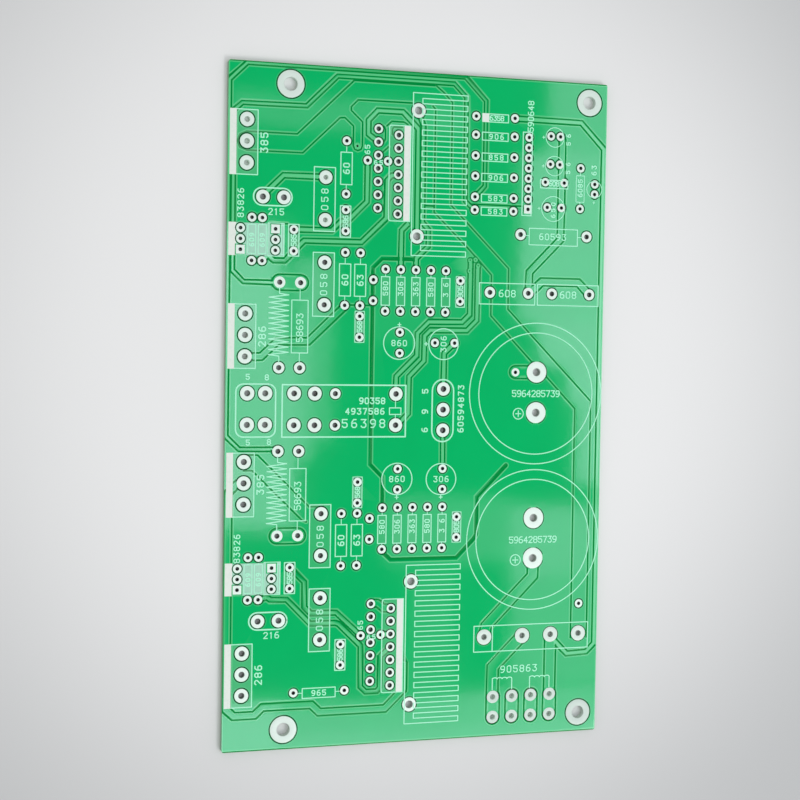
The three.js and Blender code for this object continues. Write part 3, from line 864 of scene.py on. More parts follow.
def joinLands(joins, f):
    compass = [(dx, dy) for dx in (-1, 0, 1) for dy in (-1, 0, 1) if dx or dy]
    columns, rows = boardWidth / f["grid"], boardLength / f["grid"]
    rim = f["rim"] / f["grid"]

    def cellsWithin(x, y, reach):
        first, last = [[math.floor((c + side * reach) / f["grid"]) for c in (x, y)] for side in (-1, 1)]
        return [(i, j) for i in range(first[0], last[0] + 2) for j in range(first[1], last[1] + 2)
                if math.hypot(i * f["grid"] - x, j * f["grid"] - y) < reach]

    covers = {spacing: {} for spacing in {spacing for spacing, _, _ in joins}}
    for spacing, covered in covers.items():
        for number, (kind, x, y, _) in enumerate(lands):
            for cell in cellsWithin(x, y, landKinds[kind]["clear"] / 2 + spacing / 2):
                covered.setdefault(cell, set()).add(number)
    taken, laid = set(), []
    for spacing, *spots in joins:
        ends = [min(range(len(lands)), key=lambda i: math.dist(lands[i][1:3], spot)) for spot in spots]
        start, goal = [tuple(round(c / f["grid"]) for c in lands[i][1:3]) for i in ends]
        waiting, costs, before, found = [(0.0, 0.0, start, (0, 0))], {}, {}, None
        while waiting and not found:
            _, spent, cell, heading = heapq.heappop(waiting)
            if cell == goal:
                found = (cell, heading)
            for turn in compass:
                if heading != (0, 0) and turn[0] * heading[0] + turn[1] * heading[1] <= 0:
                    continue  # no corner sharper than 45 degrees
                ahead = (cell[0] + turn[0], cell[1] + turn[1])
                over = covers[spacing].get(ahead, set())
                inside = rim < ahead[0] < columns - rim and rim < ahead[1] < rows - rim
                if not inside or not over <= set(ends) or (ahead in taken and not over):
                    continue
                cost = spent + math.hypot(*turn) + (f["turning"] if heading not in ((0, 0), turn) else 0)
                if cost < costs.get((ahead, turn), 1e9):
                    costs[ahead, turn] = cost
                    before[ahead, turn] = (cell, heading)
                    heapq.heappush(waiting, (cost + math.dist(ahead, goal), cost, ahead, turn))
        if not found:
            continue
        steps = [found]
        while steps[-1] in before:
            steps.append(before[steps[-1]])
        corners = [a[0] for a, b in zip(steps[1:], steps) if a[1] != b[1] and a[1] != (0, 0)]
        path = [(i * f["grid"], j * f["grid"]) for i, j in corners]
        laid.append((spacing, [lands[ends[1]][1:3]] + path + [lands[ends[0]][1:3]]))
        for (i, j), _ in steps:
            reach = (spacing + f["signal"]) / 2 + f["spare"]
            taken.update(cellsWithin(i * f["grid"], j * f["grid"], reach))
    return laid


def mirrored(joins):
    return [tuple((x, underside["mirror"] - y) for x, y in pair) for pair in joins]


joins = [(underside["supply"], a, b) for a, b in supplyJoins]
joins += [(underside["signal"], a, b) for a, b in channelJoins + mirrored(channelJoins) + cornerJoins]
undersideTracks = joinLands(joins, underside)
print("underside tracks laid:", len(undersideTracks), "of", len(joins))
coatFace("solderMaskUnderside", undersideTracks, upwards=False)


def newTree(name, inputs):
    tree = bpy.data.node_groups.new(name, "GeometryNodeTree")
    tree.interface.new_socket("Geometry", in_out="INPUT", socket_type="NodeSocketGeometry")
    for label, kind in inputs.items():
        tree.interface.new_socket(label, in_out="INPUT", socket_type="NodeSocket" + kind)
    tree.interface.new_socket("Geometry", in_out="OUTPUT", socket_type="NodeSocketGeometry")
    return tree, tree.nodes.new("NodeGroupInput"), tree.nodes.new("NodeGroupOutput")


def runTree(tree, mesh, values):
    holder = newObject("holder", mesh)
    modifier = holder.modifiers.new("shape", "NODES")
    modifier.node_group = tree
    for item in tree.interface.items_tree:
        if item.in_out == "INPUT" and item.name in values:
            modifier[item.identifier] = values[item.name]
    bpy.context.view_layer.update()
    made = bpy.data.meshes.new_from_object(holder.evaluated_get(bpy.context.evaluated_depsgraph_get()))
    holder.modifiers.clear()
    bpy.data.objects.remove(holder)
    shape = bmesh.new()
    shape.from_mesh(made)
    bmesh.ops.recalc_face_normals(shape, faces=shape.faces)
    shape.to_mesh(made)
    shape.free()
    return made


landLook = {
    "faceHeight": 1.578,  # mm above the board's underside
    "dome": 0.004,
    "weld": 0.002,
    "sharp": 12,  # degrees
}

# Outline of a land's section, from the foot of its flange over the rim, the dome and the bore to
# the other face: share of the way from bore to rim, face (1 is the top), height in domes, and 1
# where it is in the bore, which the tin's colour darkens as painted shade.
landSection = {
    "full": [(0.1, 1, -10, 0), (1, 1, -10, 0), (1, 1, -1.5, 0), (0.975, 1, 0, 0), (0.55, 1, 1, 0),
             (0.1, 1, 0.8, 0), (0.05, 1, -1, 0.6), (0, 1, -8, 1), (0, 0, 8, 1), (0.05, 0, 1, 0.6),
             (0.1, 0, -0.8, 0), (0.55, 0, -1, 0), (0.975, 0, 0, 0), (1, 0, 1.5, 0), (1, 0, 10, 0),
             (0.1, 0, 10, 0)],
    "plain": [(1, 1, -3, 0), (0.96, 1, 0.2, 0), (0.1, 1, 0.8, 0), (0, 1, -8, 1), (0, 0, 8, 1),
              (0.1, 0, -0.8, 0), (0.96, 0, -0.2, 0), (1, 0, 3, 0)],
}


def landTree(section):
    tree, given, made = newTree("turnedLand", {
        "Land Radius": "Float", "Hole Radius": "Float", "Face Height": "Float", "Dome": "Float",
        "Board Thickness": "Float", "Squareness": "Float", "Face Greying": "Float",
        "Bore Painted Shade": "Float", "Sides": "Int", "Finish": "Material"})
    known = dict(given.outputs.items())
    rows = len(section) + 1
    across = addNode(tree, "ShaderNodeMath", {0: known["Sides"], 1: 1.0}, operation="ADD").outputs[0]
    sheet = addNode(tree, "GeometryNodeMeshGrid", {"Vertices X": rows, "Vertices Y": across})
    index = addNode(tree, "GeometryNodeInputIndex").outputs[0]
    part = addNode(tree, "ShaderNodeMath", {0: index, 1: across}, operation="DIVIDE").outputs[0]
    row = addNode(tree, "ShaderNodeMath", {0: part}, operation="FLOOR").outputs[0]
    column = addNode(tree, "ShaderNodeMath", {0: index, 1: across}, operation="MODULO").outputs[0]
    known["column"] = column
    for which, label in enumerate(("share", "upper", "domes", "inBore")):
        switch = addNode(tree, "GeometryNodeIndexSwitch", {0: row}, data_type="FLOAT")
        while len(switch.index_switch_items) < rows:
            switch.index_switch_items.new()
        for i in range(rows):
            switch.inputs[i + 1].default_value = section[i % len(section)][which]
        known[label] = switch.outputs[0]
    for label, operation, *terms in (
            ("turns", "DIVIDE", "column", "Sides"), ("angle", "MULTIPLY", "turns", 2 * math.pi),
            ("cosine", "COSINE", "angle"), ("sine", "SINE", "angle"),
            ("alongX", "ABSOLUTE", "cosine"), ("alongY", "ABSOLUTE", "sine"),
            ("flatness", "MAXIMUM", "alongX", "alongY"), ("diagonal", "DIVIDE", 1.0, "flatness"),
            ("corner", "SUBTRACT", "diagonal", 1.0), ("drawnOut", "MULTIPLY", "corner", "Squareness"),
            ("reach", "ADD", "drawnOut", 1.0), ("rim", "MULTIPLY", "Land Radius", "reach"),
            ("flange", "SUBTRACT", "rim", "Hole Radius"), ("outward", "MULTIPLY", "share", "flange"),
            ("radius", "ADD", "Hole Radius", "outward"), ("x", "MULTIPLY", "radius", "cosine"),
            ("y", "MULTIPLY", "radius", "sine"), ("lower", "SUBTRACT", 1.0, "upper"),
            ("top", "MULTIPLY", "upper", "Face Height"),
            ("underside", "SUBTRACT", "Board Thickness", "Face Height"),
            ("foot", "MULTIPLY", "lower", "underside"), ("face", "ADD", "top", "foot"),
            ("rise", "MULTIPLY", "domes", "Dome"), ("z", "ADD", "face", "rise"),
            ("dark", "MULTIPLY", "inBore", "Bore Painted Shade"), ("open", "SUBTRACT", 1.0, "inBore"),
            ("light", "MULTIPLY", "open", "Face Greying"), ("greyingAndPaintedShade", "ADD", "dark", "light")):
        known[label] = addNode(tree, "ShaderNodeMath", {
            i: known.get(term, term) for i, term in enumerate(terms)}, operation=operation).outputs[0]
    place = addNode(tree, "ShaderNodeCombineXYZ", {"X": known["x"], "Y": known["y"], "Z": known["z"]})
    shaped = addNode(tree, "GeometryNodeSetPosition", {
        "Geometry": sheet.outputs["Mesh"], "Position": place.outputs[0]})
    # the painted shade of the bore and the greying of the face, for the tin's colour
    marked = addNode(tree, "GeometryNodeStoreNamedAttribute", {
        "Geometry": shaped.outputs[0], "Name": "greyingAndPaintedShade", "Value": known["greyingAndPaintedShade"]},
        data_type="FLOAT", domain="POINT")
    closed = addNode(tree, "GeometryNodeMergeByDistance", {
        "Geometry": marked.outputs[0], "Distance": landLook["weld"] * mm})
    placed = addNode(tree, "GeometryNodeInstanceOnPoints", {
        "Points": known["Geometry"], "Instance": closed.outputs[0]})
    real = addNode(tree, "GeometryNodeRealizeInstances", {0: placed.outputs[0]})
    coloured = addNode(tree, "GeometryNodeSetMaterial", {
        "Geometry": real.outputs[0], "Material": known["Finish"]})
    setInputs(made, {0: coloured.outputs[0]})
    return tree


landTrees = {name: landTree(section) for name, section in landSection.items()}
for kind, look in landKinds.items():
    if kind == "via":
        continue  # under the mask
    here = [(x, y, node) for k, x, y, node in lands if k == kind]
    points = newMesh(kind, [toFrame(x, y, 0) for x, y, _ in here])
    nodes = [node for _, _, node in here if node]
    mesh = runTree(landTrees["full" if nodes else "plain"], points, {
        "Land Radius": look["land"] / 2 * mm, "Hole Radius": look["hole"] / 2 * mm,
        "Face Height": landLook["faceHeight"] * mm, "Dome": landLook["dome"] * mm,
        "Board Thickness": boardThickness * mm, "Squareness": 1.0 if kind == "square" else 0.0,
        "Face Greying": look["face"], "Bore Painted Shade": look["bore"], "Sides": look["sides"],
        "Finish": tinMaterial})
    mesh.shade_smooth()
    mesh.set_sharp_from_angle(angle=math.radians(landLook["sharp"]))
    finishPiece(kind + "Lands", mesh, tinMaterial, nodes)
print("lands turned")


# The legend's lines, in mm
legend = {
    "top": 1.584,  # above the board's underside
    "depth": 0.05,
    "line": 0.25,
    "heavy": 0.35,
    "fine": 0.19,
    "digit": 0.25,
    "bold": 0.3,
    "levelling": 0.004,  # one line lies this much lower than another, at most
    "digitWidth": 0.62,  # as a share of the height
    "digitStep": 0.92,
    "barRise": 0.002,  # the filled areas' tops, from the lines'
    "veilRise": -0.006,
    "areaRise": 0.0004,  # from one area to the next
    "areaDepth": 0.04,
    "overClearance": 0.04,  # mm that they reach into a land's clearance
}
strokes = {style: [] for style in ("line", "heavy", "fine", "digit", "bold")}
bars, veils = [], []


def draw(points, style="line", closed=False):
    strokes[style].append(list(points) + ([points[0]] if closed else []))


def drawBox(x0, y0, x1, y1, style="line"):
    draw(rectangle(x0, y0, x1, y1), style, True)


def drawCircle(x, y, radius, style="line", sides=48):
    draw(polygon(x, y, radius, sides), style, True)


def drawStadium(x0, y0, x1, y1, radius):
    loop = []
    for cx, cy, start in ((x1 - radius, y1 - radius, 0), (x0 + radius, y1 - radius, 90),
                          (x0 + radius, y0 + radius, 180), (x1 - radius, y0 + radius, 270)):
        loop += arc(cx, cy, radius, [math.radians(start + k * 15) for k in range(7)])
    draw(loop, "heavy", True)


# Plain stroke numerals on a grid four wide and six high
numerals = {
    "0": [[(1, 0), (3, 0), (4, 1), (4, 5), (3, 6), (1, 6), (0, 5), (0, 1), (1, 0)]],
    "1": [[(1, 5), (2, 6), (2, 0)]],
    "2": [[(0, 5), (1, 6), (3, 6), (4, 5), (4, 4), (0, 0), (4, 0)]],
    "3": [[(0, 6), (4, 6), (2, 3.6), (3.2, 3.4), (4, 2.4), (4, 1), (3, 0), (1, 0), (0, 1)]],
    "4": [[(3, 0), (3, 6), (0, 2), (4, 2)]],
    "5": [[(4, 6), (0, 6), (0, 3.4), (3, 3.6), (4, 2.6), (4, 1), (3, 0), (1, 0), (0, 1)]],
    "6": [[(3.5, 6), (1.5, 6), (0, 4), (0, 1), (1, 0), (3, 0), (4, 1), (4, 2.4), (3, 3.4), (0, 3.2)]],
    "7": [[(0, 6), (4, 6), (1.5, 0)]],
    "8": [[(1, 3.2), (0, 4), (0, 5), (1, 6), (3, 6), (4, 5), (4, 4), (3, 3.2), (1, 3.2), (0, 2.3),
           (0, 1), (1, 0), (3, 0), (4, 1), (4, 2.3), (3, 3.2)]],
    "9": [[(0.5, 0), (2.5, 0), (4, 2), (4, 5), (3, 6), (1, 6), (0, 5), (0, 3.6), (1, 2.6), (4, 2.8)]],
    "+": [[(0, 3), (4, 3)], [(2, 1), (2, 5)]],
}


def drawNumber(text, x, y, height, length=None, turned=False, style="digit"):
    text = str(text)
    width, advance = height * legend["digitWidth"], height * legend["digitStep"]
    if length is not None:
        advance = (length - width) / max(1, len(text) - 1)
    start = -advance * (len(text) - 1) / 2
    for i, sign in enumerate(text):
        for stroke in numerals[sign]:
            points = []
            for gx, gy in stroke:
                u = start + i * advance + (gx - 2) * width / 4
                v = (gy - 3) * height / 6
                points.append((x - v, y + u) if turned else (x + u, y + v))
            draw(points, style)


def drawUprightResistor(x, y, half, reach, leads, style="line"):
    drawBox(x - half, y - reach, x + half, y + reach, style)
    for side in (-1, 1):
        draw([(x, y + side * reach), (x, y + side * leads)], "fine")


# output transistors: a bar on the heat sink's side and an outline round the leads
for x, y, text in ((4.5, 145.0, "385"), (4.55, 99.3, "286"), (4.6, 64.0, "385"), (4.6, 18.3, "286")):
    reach = 7.7
    bars.append((0.4, y - reach, 2.0, y + reach))
    drawBox(0.55, y - reach + 0.1, 7.1, y + reach - 0.1)
    drawNumber(text, 8.65, y, 1.6, 4.5, True, "bold")

for x, y in ((23.15, 132.3), (23.15, 111.95), (23.1, 51.35), (23.2, 31.0)):  # emitter resistors
    drawBox(x - 2.3, y - 7.6, x + 2.9, y + 7.65)
    drawNumber("058", x + 0.35, y, 1.55, 4.9, True)

# resistors on end, then capacitors
for x, y, text in ((28.75, 139.9, 60), (28.75, 113.2, 60), (28.65, 50.2, 60), (32.55, 113.2, 63),
                   (32.6, 50.2, 63)):
    drawUprightResistor(x, y, 1.4, 3.85, 5.2)
    drawNumber(text, x, y, 1.4, 2.4, True, "bold")

for x, y, text in ((16.05, 122.3, 585), (28.7, 127.2, 586), (28.8, 22.3, 586), (16.05, 41.45, 585)):
    drawBox(x - 1.3, y - 3.75, x + 1.25, y + 3.75)
    drawNumber(text, x, y, 1.15, 2.7, True)
for x, y in ((32.55, 102.0), (32.6, 61.85)):
    drawBox(x - 1.15, y - 3.75, x + 1.15, y + 3.75, "fine")
    drawNumber(568, x, y, 1.1, 2.6, True)

# a row of resistors in each channel, and a capacitor beside it
for y in (111.0, 52.9):
    for k, text in zip(range(-2, 3), (580, 306, 363, 580, 36)):
        x = 46.62 + k * pitch["row"]
        drawUprightResistor(x, y - 0.2, 1.05, 3.45, 4.0)
        drawNumber(text, x, y + 0.4, 1.15, 3.2, True)
    drawBox(57.0, y - 3.75, 59.25, y + 3.75, "fine")
    drawNumber(805, 58.1, y + 0.1, 1.2, 2.8, True)

# small transistors and the resistors between them, under a thin veil of ink
for y in (122.3, 41.5):
    bars.append((0.3, y - 3.95, 2.1, y + 3.85))
    veils += [(2.1, y - 3.9, 9.6, y + 3.75), (9.75, y - 3.85, 13.7, y + 3.85)]
    for x in (5.9, 8.4):
        drawUprightResistor(x, y, 0.95, 3.4, 3.7, "fine")
        drawNumber(609, x, y - 0.2, 1.0, 3.0, True)
    drawBox(9.75, y - 3.9, 13.7, y + 3.9, "fine")
    drawBox(13.0, y - 3.5, 13.6, y + 3.4, "fine")
    drawNumber("83826", 3.15, y + 8.4 if y > 100 else y + 7.3, 1.35, 6.6, True)

for y, text in ((132.35, 215), (31.25, 216)):  # test points
    drawStadium(6.2, y - 2.05, 15.5, y + 2.1, 2.05)
    drawNumber(text, 11.7, y - 3.45, 1.4, 3.6)

# output coils: a zigzag winding with its leads, beside a resistor outline
for y in (102.1, 61.8):
    low, high = y - 7.4, y + 7.5
    turns = 12
    winding = [(12.75, y - 8.9), (12.75, low)]
    for k in range(turns):
        winding += [(10.2, low + (k + 0.25) * (high - low) / turns),
                    (15.0, low + (k + 0.75) * (high - low) / turns)]
    draw(winding + [(12.75, high), (12.75, y + 8.9)])
    drawUprightResistor(17.75, y - 0.3, 2.0, 6.3, 8.8)
    drawNumber("58693", 17.75, y - 0.6, 1.5, 6.6, True)

drawStadium(2.5, 75.4, 12.1, 88.0, 1.8)  # speaker connector, with its pins' numbers
for x, y, text in ((5.3, 89.7, 5), (9.9, 89.6, 8), (5.5, 74.1, 5), (10.6, 74.2, 8)):
    drawNumber(text, x, y, 1.2)

# relay, with a box for its coil
drawBox(13.7, 75.35, 44.5, 87.9, "heavy")
drawNumber("90358", 36.0, 84.1, 1.35, 6.3, style="bold")
drawNumber("4937586", 34.2, 81.55, 1.35, 9.6, style="bold")
drawNumber("56398", 33.9, 78.6, 1.9, 10.6, style="bold")
drawBox(40.4, 80.8, 43.3, 82.4)
draw([(41.9, 82.4), (41.9, 84.1)], "fine")
draw([(41.9, 80.8), (41.9, 79.9)], "fine")

drawStadium(51.3, 74.1, 56.8, 89.4, 2.7)  # audio connector
drawNumber("60594873", 58.75, 82.2, 1.35, 11.4, True, "bold")
for text, y in ((5, 86.5), (9, 81.5), (6, 77.0)):
    drawNumber(text, 49.45, y, 1.35, turned=True, style="bold")

# electrolytic capacitors: a circle, and a plus at the positive lead
for x, y, radius, top in ((42.6, 98.2, 3.95, 1), (54.0, 98.1, 3.8, 0), (42.55, 65.0, 3.85, -1),
                          (53.9, 64.85, 3.85, 0)):
    drawCircle(x, y, radius)
    drawNumber(860 if top else 306, x, y, 1.3, 3.7, not top and y > 90)
    if top:
        drawNumber("+", x, y + top * 4.5, 1.2)
drawNumber("+", 49.5, 98.1, 1.2)
drawNumber("+", 53.9, 60.4, 1.2)

# driver chips: an outline with a broad bar along the heat sink
for x, y in ((39.2, 139.3), (39.1, 23.95)):
    corner = [(0.2, 11.1), (0.35, 11.45), (0.75, 11.55), (5.6, 11.55), (5.6, -11.5), (0.75, -11.5),
              (0.35, -11.4), (0.2, -11.05)]
    draw([(x + dx, y + dy) for dx, dy in corner], closed=True)
    bars.append((x + 3.95, y - 11.4, x + 5.5, y + 11.5))
    drawNumber("65", x - 5.3, y + 5.4, 1.15, 2.0, True)
    drawNumber("65", x - 2.5, y + 2.4, 1.0, 2.0)

# heat sinks: a serpentine of fins beside a long back
for y0, y1 in ((119.6, 159.0), (4.4, 43.7)):
    fins = 31
    step = (y1 - y0) / fins
    comb = [(45.3, y0)]
    for k in range(fins + 1):
        ends = (47.7, 59.3) if k % 2 == 0 else (59.3, 47.7)
        comb += [(ends[0], y0 + k * step), (ends[1], y0 + k * step)]
    comb[1] = (45.3, y0)
    draw(comb)
    draw([(45.3, y0), (45.3, y1), (47.7, y1)])

for x, y in ((78.6, 86.05), (78.5, 49.3)):  # reservoir capacitors
    drawCircle(x, y, 17.65, sides=96)
    drawCircle(x, y, 15.2, sides=96)
    drawCircle(x - 4.65, y - 5.05, 1.35, sides=20)
    drawNumber("+", x - 4.65, y - 5.05, 2.2, style="line")
    drawNumber("5964285739", x, y, 1.5, 12.6)

for x0, x1 in ((63.1, 77.8), (78.5, 95.0)):  # film capacitors
    drawBox(x0, 108.2, x1, 113.4)
    drawNumber(608, (x0 + x1) / 2, 110.9, 1.6, 4.2)
drawBox(76.0, 123.2, 89.0, 127.3)  # broad resistor
drawNumber("60593", 82.3, 125.3, 1.45, 7.0)
draw([(74.6, 125.5), (76.0, 125.45)], "fine")
draw([(89.0, 125.4), (90.5, 125.45)], "fine")
# six flat resistors or diodes, of which the first has a filled end, and the protection chip
for i, (y, text) in enumerate(((154.0, 6358), (149.45, 906), (144.35, 858), (139.35, 906), (134.25, 583),
                               (131.05, 583))):
    drawBox(63.2, y - 0.97, 69.95, y + 0.97)
    if i == 0:
        bars.append((63.1, y - 1.05, 64.9, y + 1.05))
    drawNumber(text, 66.9, y, 1.15, 3.6)
drawBox(73.95, 130.4, 76.4, 151.0)
drawNumber("590648", 75.9, 155.0, 1.4, 7.4, True)
# small capacitors in the upper corner, a resistor and a lamp
for y in (150.1, 143.0):
    drawCircle(82.45, y, 2.42, "fine")
    drawNumber(56, 86.1, y - 0.4, 1.0, 2.6, True)
    drawNumber("+", 79.4, y - 0.1, 0.9, style="fine")
drawCircle(82.3, 132.3, 3.1, "fine")
drawNumber("+", 78.5, 132.3, 0.9, style="fine")
drawNumber(650, 82.3, 132.0, 1.0, 3.6, True)
drawBox(78.75, 137.45, 86.15, 139.45)
drawNumber(608, 82.4, 138.6, 1.1, 2.6)
drawUprightResistor(89.5, 137.6, 1.1, 3.3, 4.0, "fine")
drawNumber(6085, 89.5, 137.8, 1.1, 4.2, True)
drawCircle(93.35, 137.6, 2.05, "fine")
drawNumber(63, 93.2, 142.4, 1.15, 2.2, True)
drawNumber("+", 93.3, 134.3, 0.9, style="fine")
drawBox(63.2, 21.4, 93.9, 27.9)  # rectifier
draw([(68.1, 21.4), (68.1, 27.9)])
drawBox(19.5, 12.1, 27.7, 14.5)  # the lower left resistor
draw([(18.4, 13.4), (19.5, 13.4)], "fine")
draw([(27.7, 13.4), (28.9, 13.4)], "fine")
drawNumber(965, 23.6, 13.3, 1.2, 3.4)

# transformer windings: humps between two terminals
for x0, x1 in ((68.3, 73.5), (78.3, 83.6)):
    top = [(x0, 11.7), (x0, 14.5)]
    humps = 4
    for k in range(humps):
        for j in range(1, 7):
            turn = math.pi * j / 6
            middle = x0 + (k + 0.5) * (x1 - x0) / humps
            top.append((middle - math.cos(turn) * (x1 - x0) / humps / 2, 14.35 + 0.35 * math.sin(turn)))
    draw(top + [(x1, 11.7)])
drawNumber("905863", 75.3, 16.75, 1.6, 9.6)


# Each line becomes a flat bar and each of its points a disc. Where they cross, one lies a little
# lower than another, so that no two tops share a plane.
def strokeTree():
    tree, given, made = newTree("printedStroke", {
        "Line Width": "Float", "Ink Top": "Float", "Ink Depth": "Float", "Levelling": "Float",
        "Seed": "Int", "Finish": "Material"})
    known = dict(given.outputs.items())
    ends = addNode(tree, "GeometryNodeInputMeshEdgeVertices")
    span = addNode(tree, "ShaderNodeVectorMath", {
        0: ends.outputs["Position 2"], 1: ends.outputs["Position 1"]}, operation="SUBTRACT")
    kept = addNode(tree, "GeometryNodeStoreNamedAttribute", {
        "Geometry": known["Geometry"], "Name": "span", "Value": span.outputs[0]},
        data_type="FLOAT_VECTOR", domain="EDGE")
    middles = addNode(tree, "GeometryNodeMeshToPoints", {"Mesh": kept.outputs[0]}, mode="EDGES")
    stored = addNode(tree, "GeometryNodeInputNamedAttribute", {"Name": "span"}, data_type="FLOAT_VECTOR")
    length = addNode(tree, "ShaderNodeVectorMath", {0: stored.outputs[0]}, operation="LENGTH")
    facing = addNode(tree, "FunctionNodeAlignRotationToVector", {"Vector": stored.outputs[0]}, axis="X")
    stretch = addNode(tree, "ShaderNodeCombineXYZ", {"X": length.outputs["Value"], "Y": 1.0, "Z": 1.0})
    section = addNode(tree, "ShaderNodeCombineXYZ", {
        "X": 1.0, "Y": known["Line Width"], "Z": known["Ink Depth"]})
    chance = addNode(tree, "FunctionNodeRandomValue", {"Seed": known["Seed"]}, data_type="FLOAT")
    known["chance"] = chance.outputs["Value"]
    for label, operation, *terms in (
            ("halfWidth", "MULTIPLY", "Line Width", 0.5), ("lower", "MULTIPLY", "chance", "Levelling"),
            ("sunk", "MULTIPLY", "Ink Depth", 0.5), ("centre", "SUBTRACT", "Ink Top", "sunk"),
            ("height", "SUBTRACT", "centre", "lower")):
        known[label] = addNode(tree, "ShaderNodeMath", {
            i: known.get(term, term) for i, term in enumerate(terms)}, operation=operation).outputs[0]
    bar = addNode(tree, "GeometryNodeMeshCube", {"Size": section.outputs[0]})
    laid = addNode(tree, "GeometryNodeInstanceOnPoints", {
        "Points": middles.outputs[0], "Instance": bar.outputs["Mesh"],
        "Rotation": facing.outputs[0], "Scale": stretch.outputs[0]})
    disc = addNode(tree, "GeometryNodeMeshCylinder", {
        "Vertices": 10, "Radius": known["halfWidth"], "Depth": known["Ink Depth"]})
    discs = addNode(tree, "GeometryNodeInstanceOnPoints", {
        "Points": known["Geometry"], "Instance": disc.outputs["Mesh"]})
    both = addNode(tree, "GeometryNodeJoinGeometry", {0: laid.outputs[0]})
    setInputs(both, {0: discs.outputs[0]})
    lift = addNode(tree, "ShaderNodeCombineXYZ", {"Z": known["height"]})
    lifted = addNode(tree, "GeometryNodeTranslateInstances", {
        "Instances": both.outputs[0], "Translation": lift.outputs[0], "Local Space": False})
    real = addNode(tree, "GeometryNodeRealizeInstances", {0: lifted.outputs[0]})
    coloured = addNode(tree, "GeometryNodeSetMaterial", {
        "Geometry": real.outputs[0], "Material": known["Finish"]})
    setInputs(made, {0: coloured.outputs[0]})
    return tree


inkTree = strokeTree()
for seed, (style, paths) in enumerate(strokes.items()):
    places, edges = [], []
    for path in paths:
        first = len(places)
        places += [toFrame(x, y, 0) for x, y in path]
        edges += [(first + i, first + i + 1) for i in range(len(path) - 1)]
    mesh = runTree(inkTree, newMesh(style, places, edges), {
        "Line Width": legend[style] * mm, "Ink Top": legend["top"] * mm,
        "Ink Depth": legend["depth"] * mm, "Levelling": legend["levelling"] * mm, "Seed": seed,
        "Finish": inks["lineInk"]})
    finishPiece("legend" + style.capitalize() + "Strokes", mesh, inks["lineInk"])
    print("legend", style, len(mesh.polygons), "faces")


# Filled areas of the legend, which stop short of every land
def printAreas(name, areas, ink, top):
    allSpots, allFaces, heights = [], [], []
    for i, corners in enumerate(areas):
        x0, y0, x1, y1 = corners
        openings = []
        for kind, x, y, _ in lands:
            reach = landKinds[kind]["clear"] / 2 - legend["overClearance"]
            if x0 - reach < x < x1 + reach and y0 - reach < y < y1 + reach:
                openings.append((kind, x, y, reach, landKinds[kind]["sides"]))
        spot, tri = fillFlat(openings, [], rectangle(*corners))
        allFaces.append(tri + sum(map(len, allSpots)))
        allSpots.append(spot)
        heights.append(np.full(len(spot), top + legend["areaRise"] * i))
    spots, faces, tops = [np.concatenate(parts) for parts in (allSpots, allFaces, heights)]
    finishPiece(name, closePlate(name, spots, faces, tops, top - legend["areaDepth"]), inks[ink])


printAreas("legendBars", bars, "solidInk", legend["top"] + legend["barRise"])
printAreas("legendVeils", veils, "veilInk", legend["top"] + legend["veilRise"])
print("legend printed")

# Floor, lamps and surroundings
studio = {
    "floor": "#F4F4F2",
    # painted light: the floor is painted darker away from its middle
    "floorPaintedFalloff": "#C4C5C4",  # and where it falls off
    "floorMiddle": (-5, 20, 0),  # mm
    "floorFrom": 60,  # mm from there
    "floorTo": 170,
    "boxHeight": 1000,
    "boxColour": "#E3EBFF",  # cool daylight
    # soft boxes overhead: where the mask mirrors each one to the camera, from x, y to x, y in mm on
    # the board, and its brightness
    "softBoxes": {
        "rightTop": (80, 146, 104, 172, 3.2),
        "rightUpper": (73.5, 104, 104, 146, 4.5),
        "rightNeck": (79, 93, 104, 104, 5.2),
        "rightMiddle": (87, 84, 104, 93, 5.6),
        "rightStrip": (90.5, 63, 104, 84, 5.2),
        "rightLower": (72, 40, 104, 58, 3.6),
        "rightLowest": (72, 12, 104, 40, 2.4),
        "foot": (14, 3, 104, 11, 3.3),
        "footRim": (14, -14, 104, 3, 4.5),
        "footLeft": (-12, -14, 14, 12, 5.8),
        "leftUpper": (-12, 96, 14, 125, 5.4),
        "leftInner": (-12, 53, 17, 96, 4.5),
        "leftMiddle": (17, 70, 21, 118, 3.4),
        "leftOuter": (21, 74, 26, 118, 1.8),
        "head": (0, 149, 60, 157, 1.5),
        "crown": (34, 98, 60, 116, 0.5),
        "middle": (40, 44, 72, 60, 1.6),
        "middleFoot": (46, 12, 58, 42, 1.0),
    },
    "keyPlace": (520, -640, 960),
    "keySize": 450,
    "keyLevel": 6.0,
    "around": 0.62,
    "overhead": 0.08,  # what gloss mirrors of it from above
    "overheadFrom": 0.35,  # sines of the height over the horizon
    "overheadTo": 0.6,
}

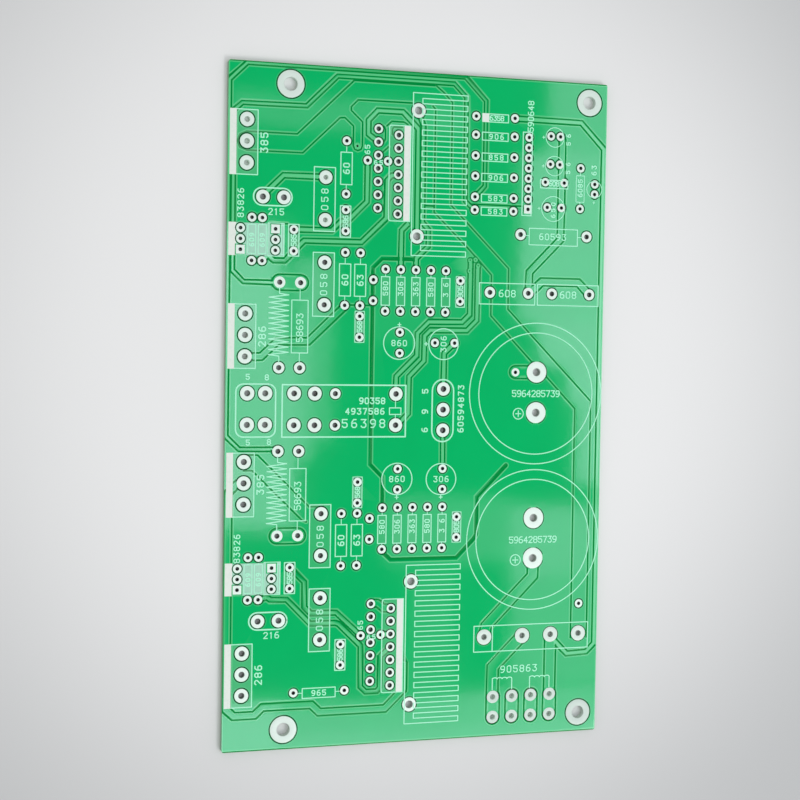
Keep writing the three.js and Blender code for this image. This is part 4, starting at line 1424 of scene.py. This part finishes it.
floor = newObject("floor", newMesh("floor", [(x, y, 0) for x, y in rectangle(-3, -3, 3, 3)],
                                   faces=[(0, 1, 2, 3)]))
# The floor's colour is painted: pale near the board and darker farther off, a painted pool of light.
paper, paperTree, paperShader = newMaterial("mattPaleFloor")
spread = addNode(paperTree, "ShaderNodeVectorMath", {
    0: addNode(paperTree, "ShaderNodeTexCoord").outputs["Object"], 1: Vector(studio["floorMiddle"]) * mm},
    operation="DISTANCE")
paintedFalloff = addNode(paperTree, "ShaderNodeMapRange", {
    "Value": spread.outputs["Value"], "From Min": studio["floorFrom"] * mm,
    "From Max": studio["floorTo"] * mm}, interpolation_type="SMOOTHSTEP")
paperTone = addNode(paperTree, "ShaderNodeMix", {
    "Factor": paintedFalloff.outputs["Result"], "A": linear(studio["floor"]), "B": linear(studio["floorPaintedFalloff"])},
    data_type="RGBA")
setInputs(paperShader, {
    "Base Color": paperTone.outputs["Result"], "Roughness": 0.9, "Specular IOR Level": 0.1})
floor.data.materials.append(paper)


def hangLamp(name, place, width, depth, level):
    lamp = bpy.data.lights.new(name, "AREA")
    lamp.shape = "RECTANGLE"
    lamp.size, lamp.size_y = width * mm, depth * mm
    lamp.energy = level * math.pi * lamp.size * lamp.size_y  # the level is its brightness in a mirror
    holder = newObject(name, lamp)
    holder.location = Vector(place) * mm
    return holder


eye = Vector(camera["place"])
rise = (studio["boxHeight"] - boardThickness) / (eye.z - boardThickness)
for name, (x0, y0, x1, y1, level) in studio["softBoxes"].items():
    seen = [(x - boardWidth / 2, y - boardLength / 2) for x, y in ((x0, y0), (x1, y1))]
    (left, near), (right, far) = [(x + (x - eye.x) * rise, y + (y - eye.y) * rise) for x, y in seen]
    box = hangLamp(name, ((left + right) / 2, (near + far) / 2, studio["boxHeight"]), right - left,
                   far - near, level)
    box.data.color = linear(studio["boxColour"])[:3]
key = hangLamp("key", studio["keyPlace"], studio["keySize"], studio["keySize"], studio["keyLevel"])
key.rotation_mode = "QUATERNION"
key.rotation_quaternion = (-key.location).to_track_quat("-Z", "Y")

# Even light from all round, which the gloss of the board mirrors only near the horizon
world = bpy.data.worlds.new("studio")
bpy.context.scene.world = world
world.use_nodes = True
sky = world.node_tree
direction = addNode(sky, "ShaderNodeTexCoord").outputs["Generated"]
upward = addNode(sky, "ShaderNodeSeparateXYZ", {0: direction}).outputs["Z"]
overhead = addNode(sky, "ShaderNodeMapRange", {
    "Value": upward, "From Min": studio["overheadFrom"], "From Max": studio["overheadTo"],
    "To Min": 1.0, "To Max": studio["overhead"]})
glossy = addNode(sky, "ShaderNodeLightPath").outputs["Is Glossy Ray"]
strength = addNode(sky, "ShaderNodeMix", {
    "Factor": glossy, "A": studio["around"], "B": overhead.outputs["Result"]}, data_type="FLOAT")
setInputs(sky.nodes["Background"], {"Strength": strength.outputs["Result"], "Color": (1, 1, 1, 1)})

bpy.context.scene.view_settings.view_transform = "Standard"
bpy.context.view_layer.update()
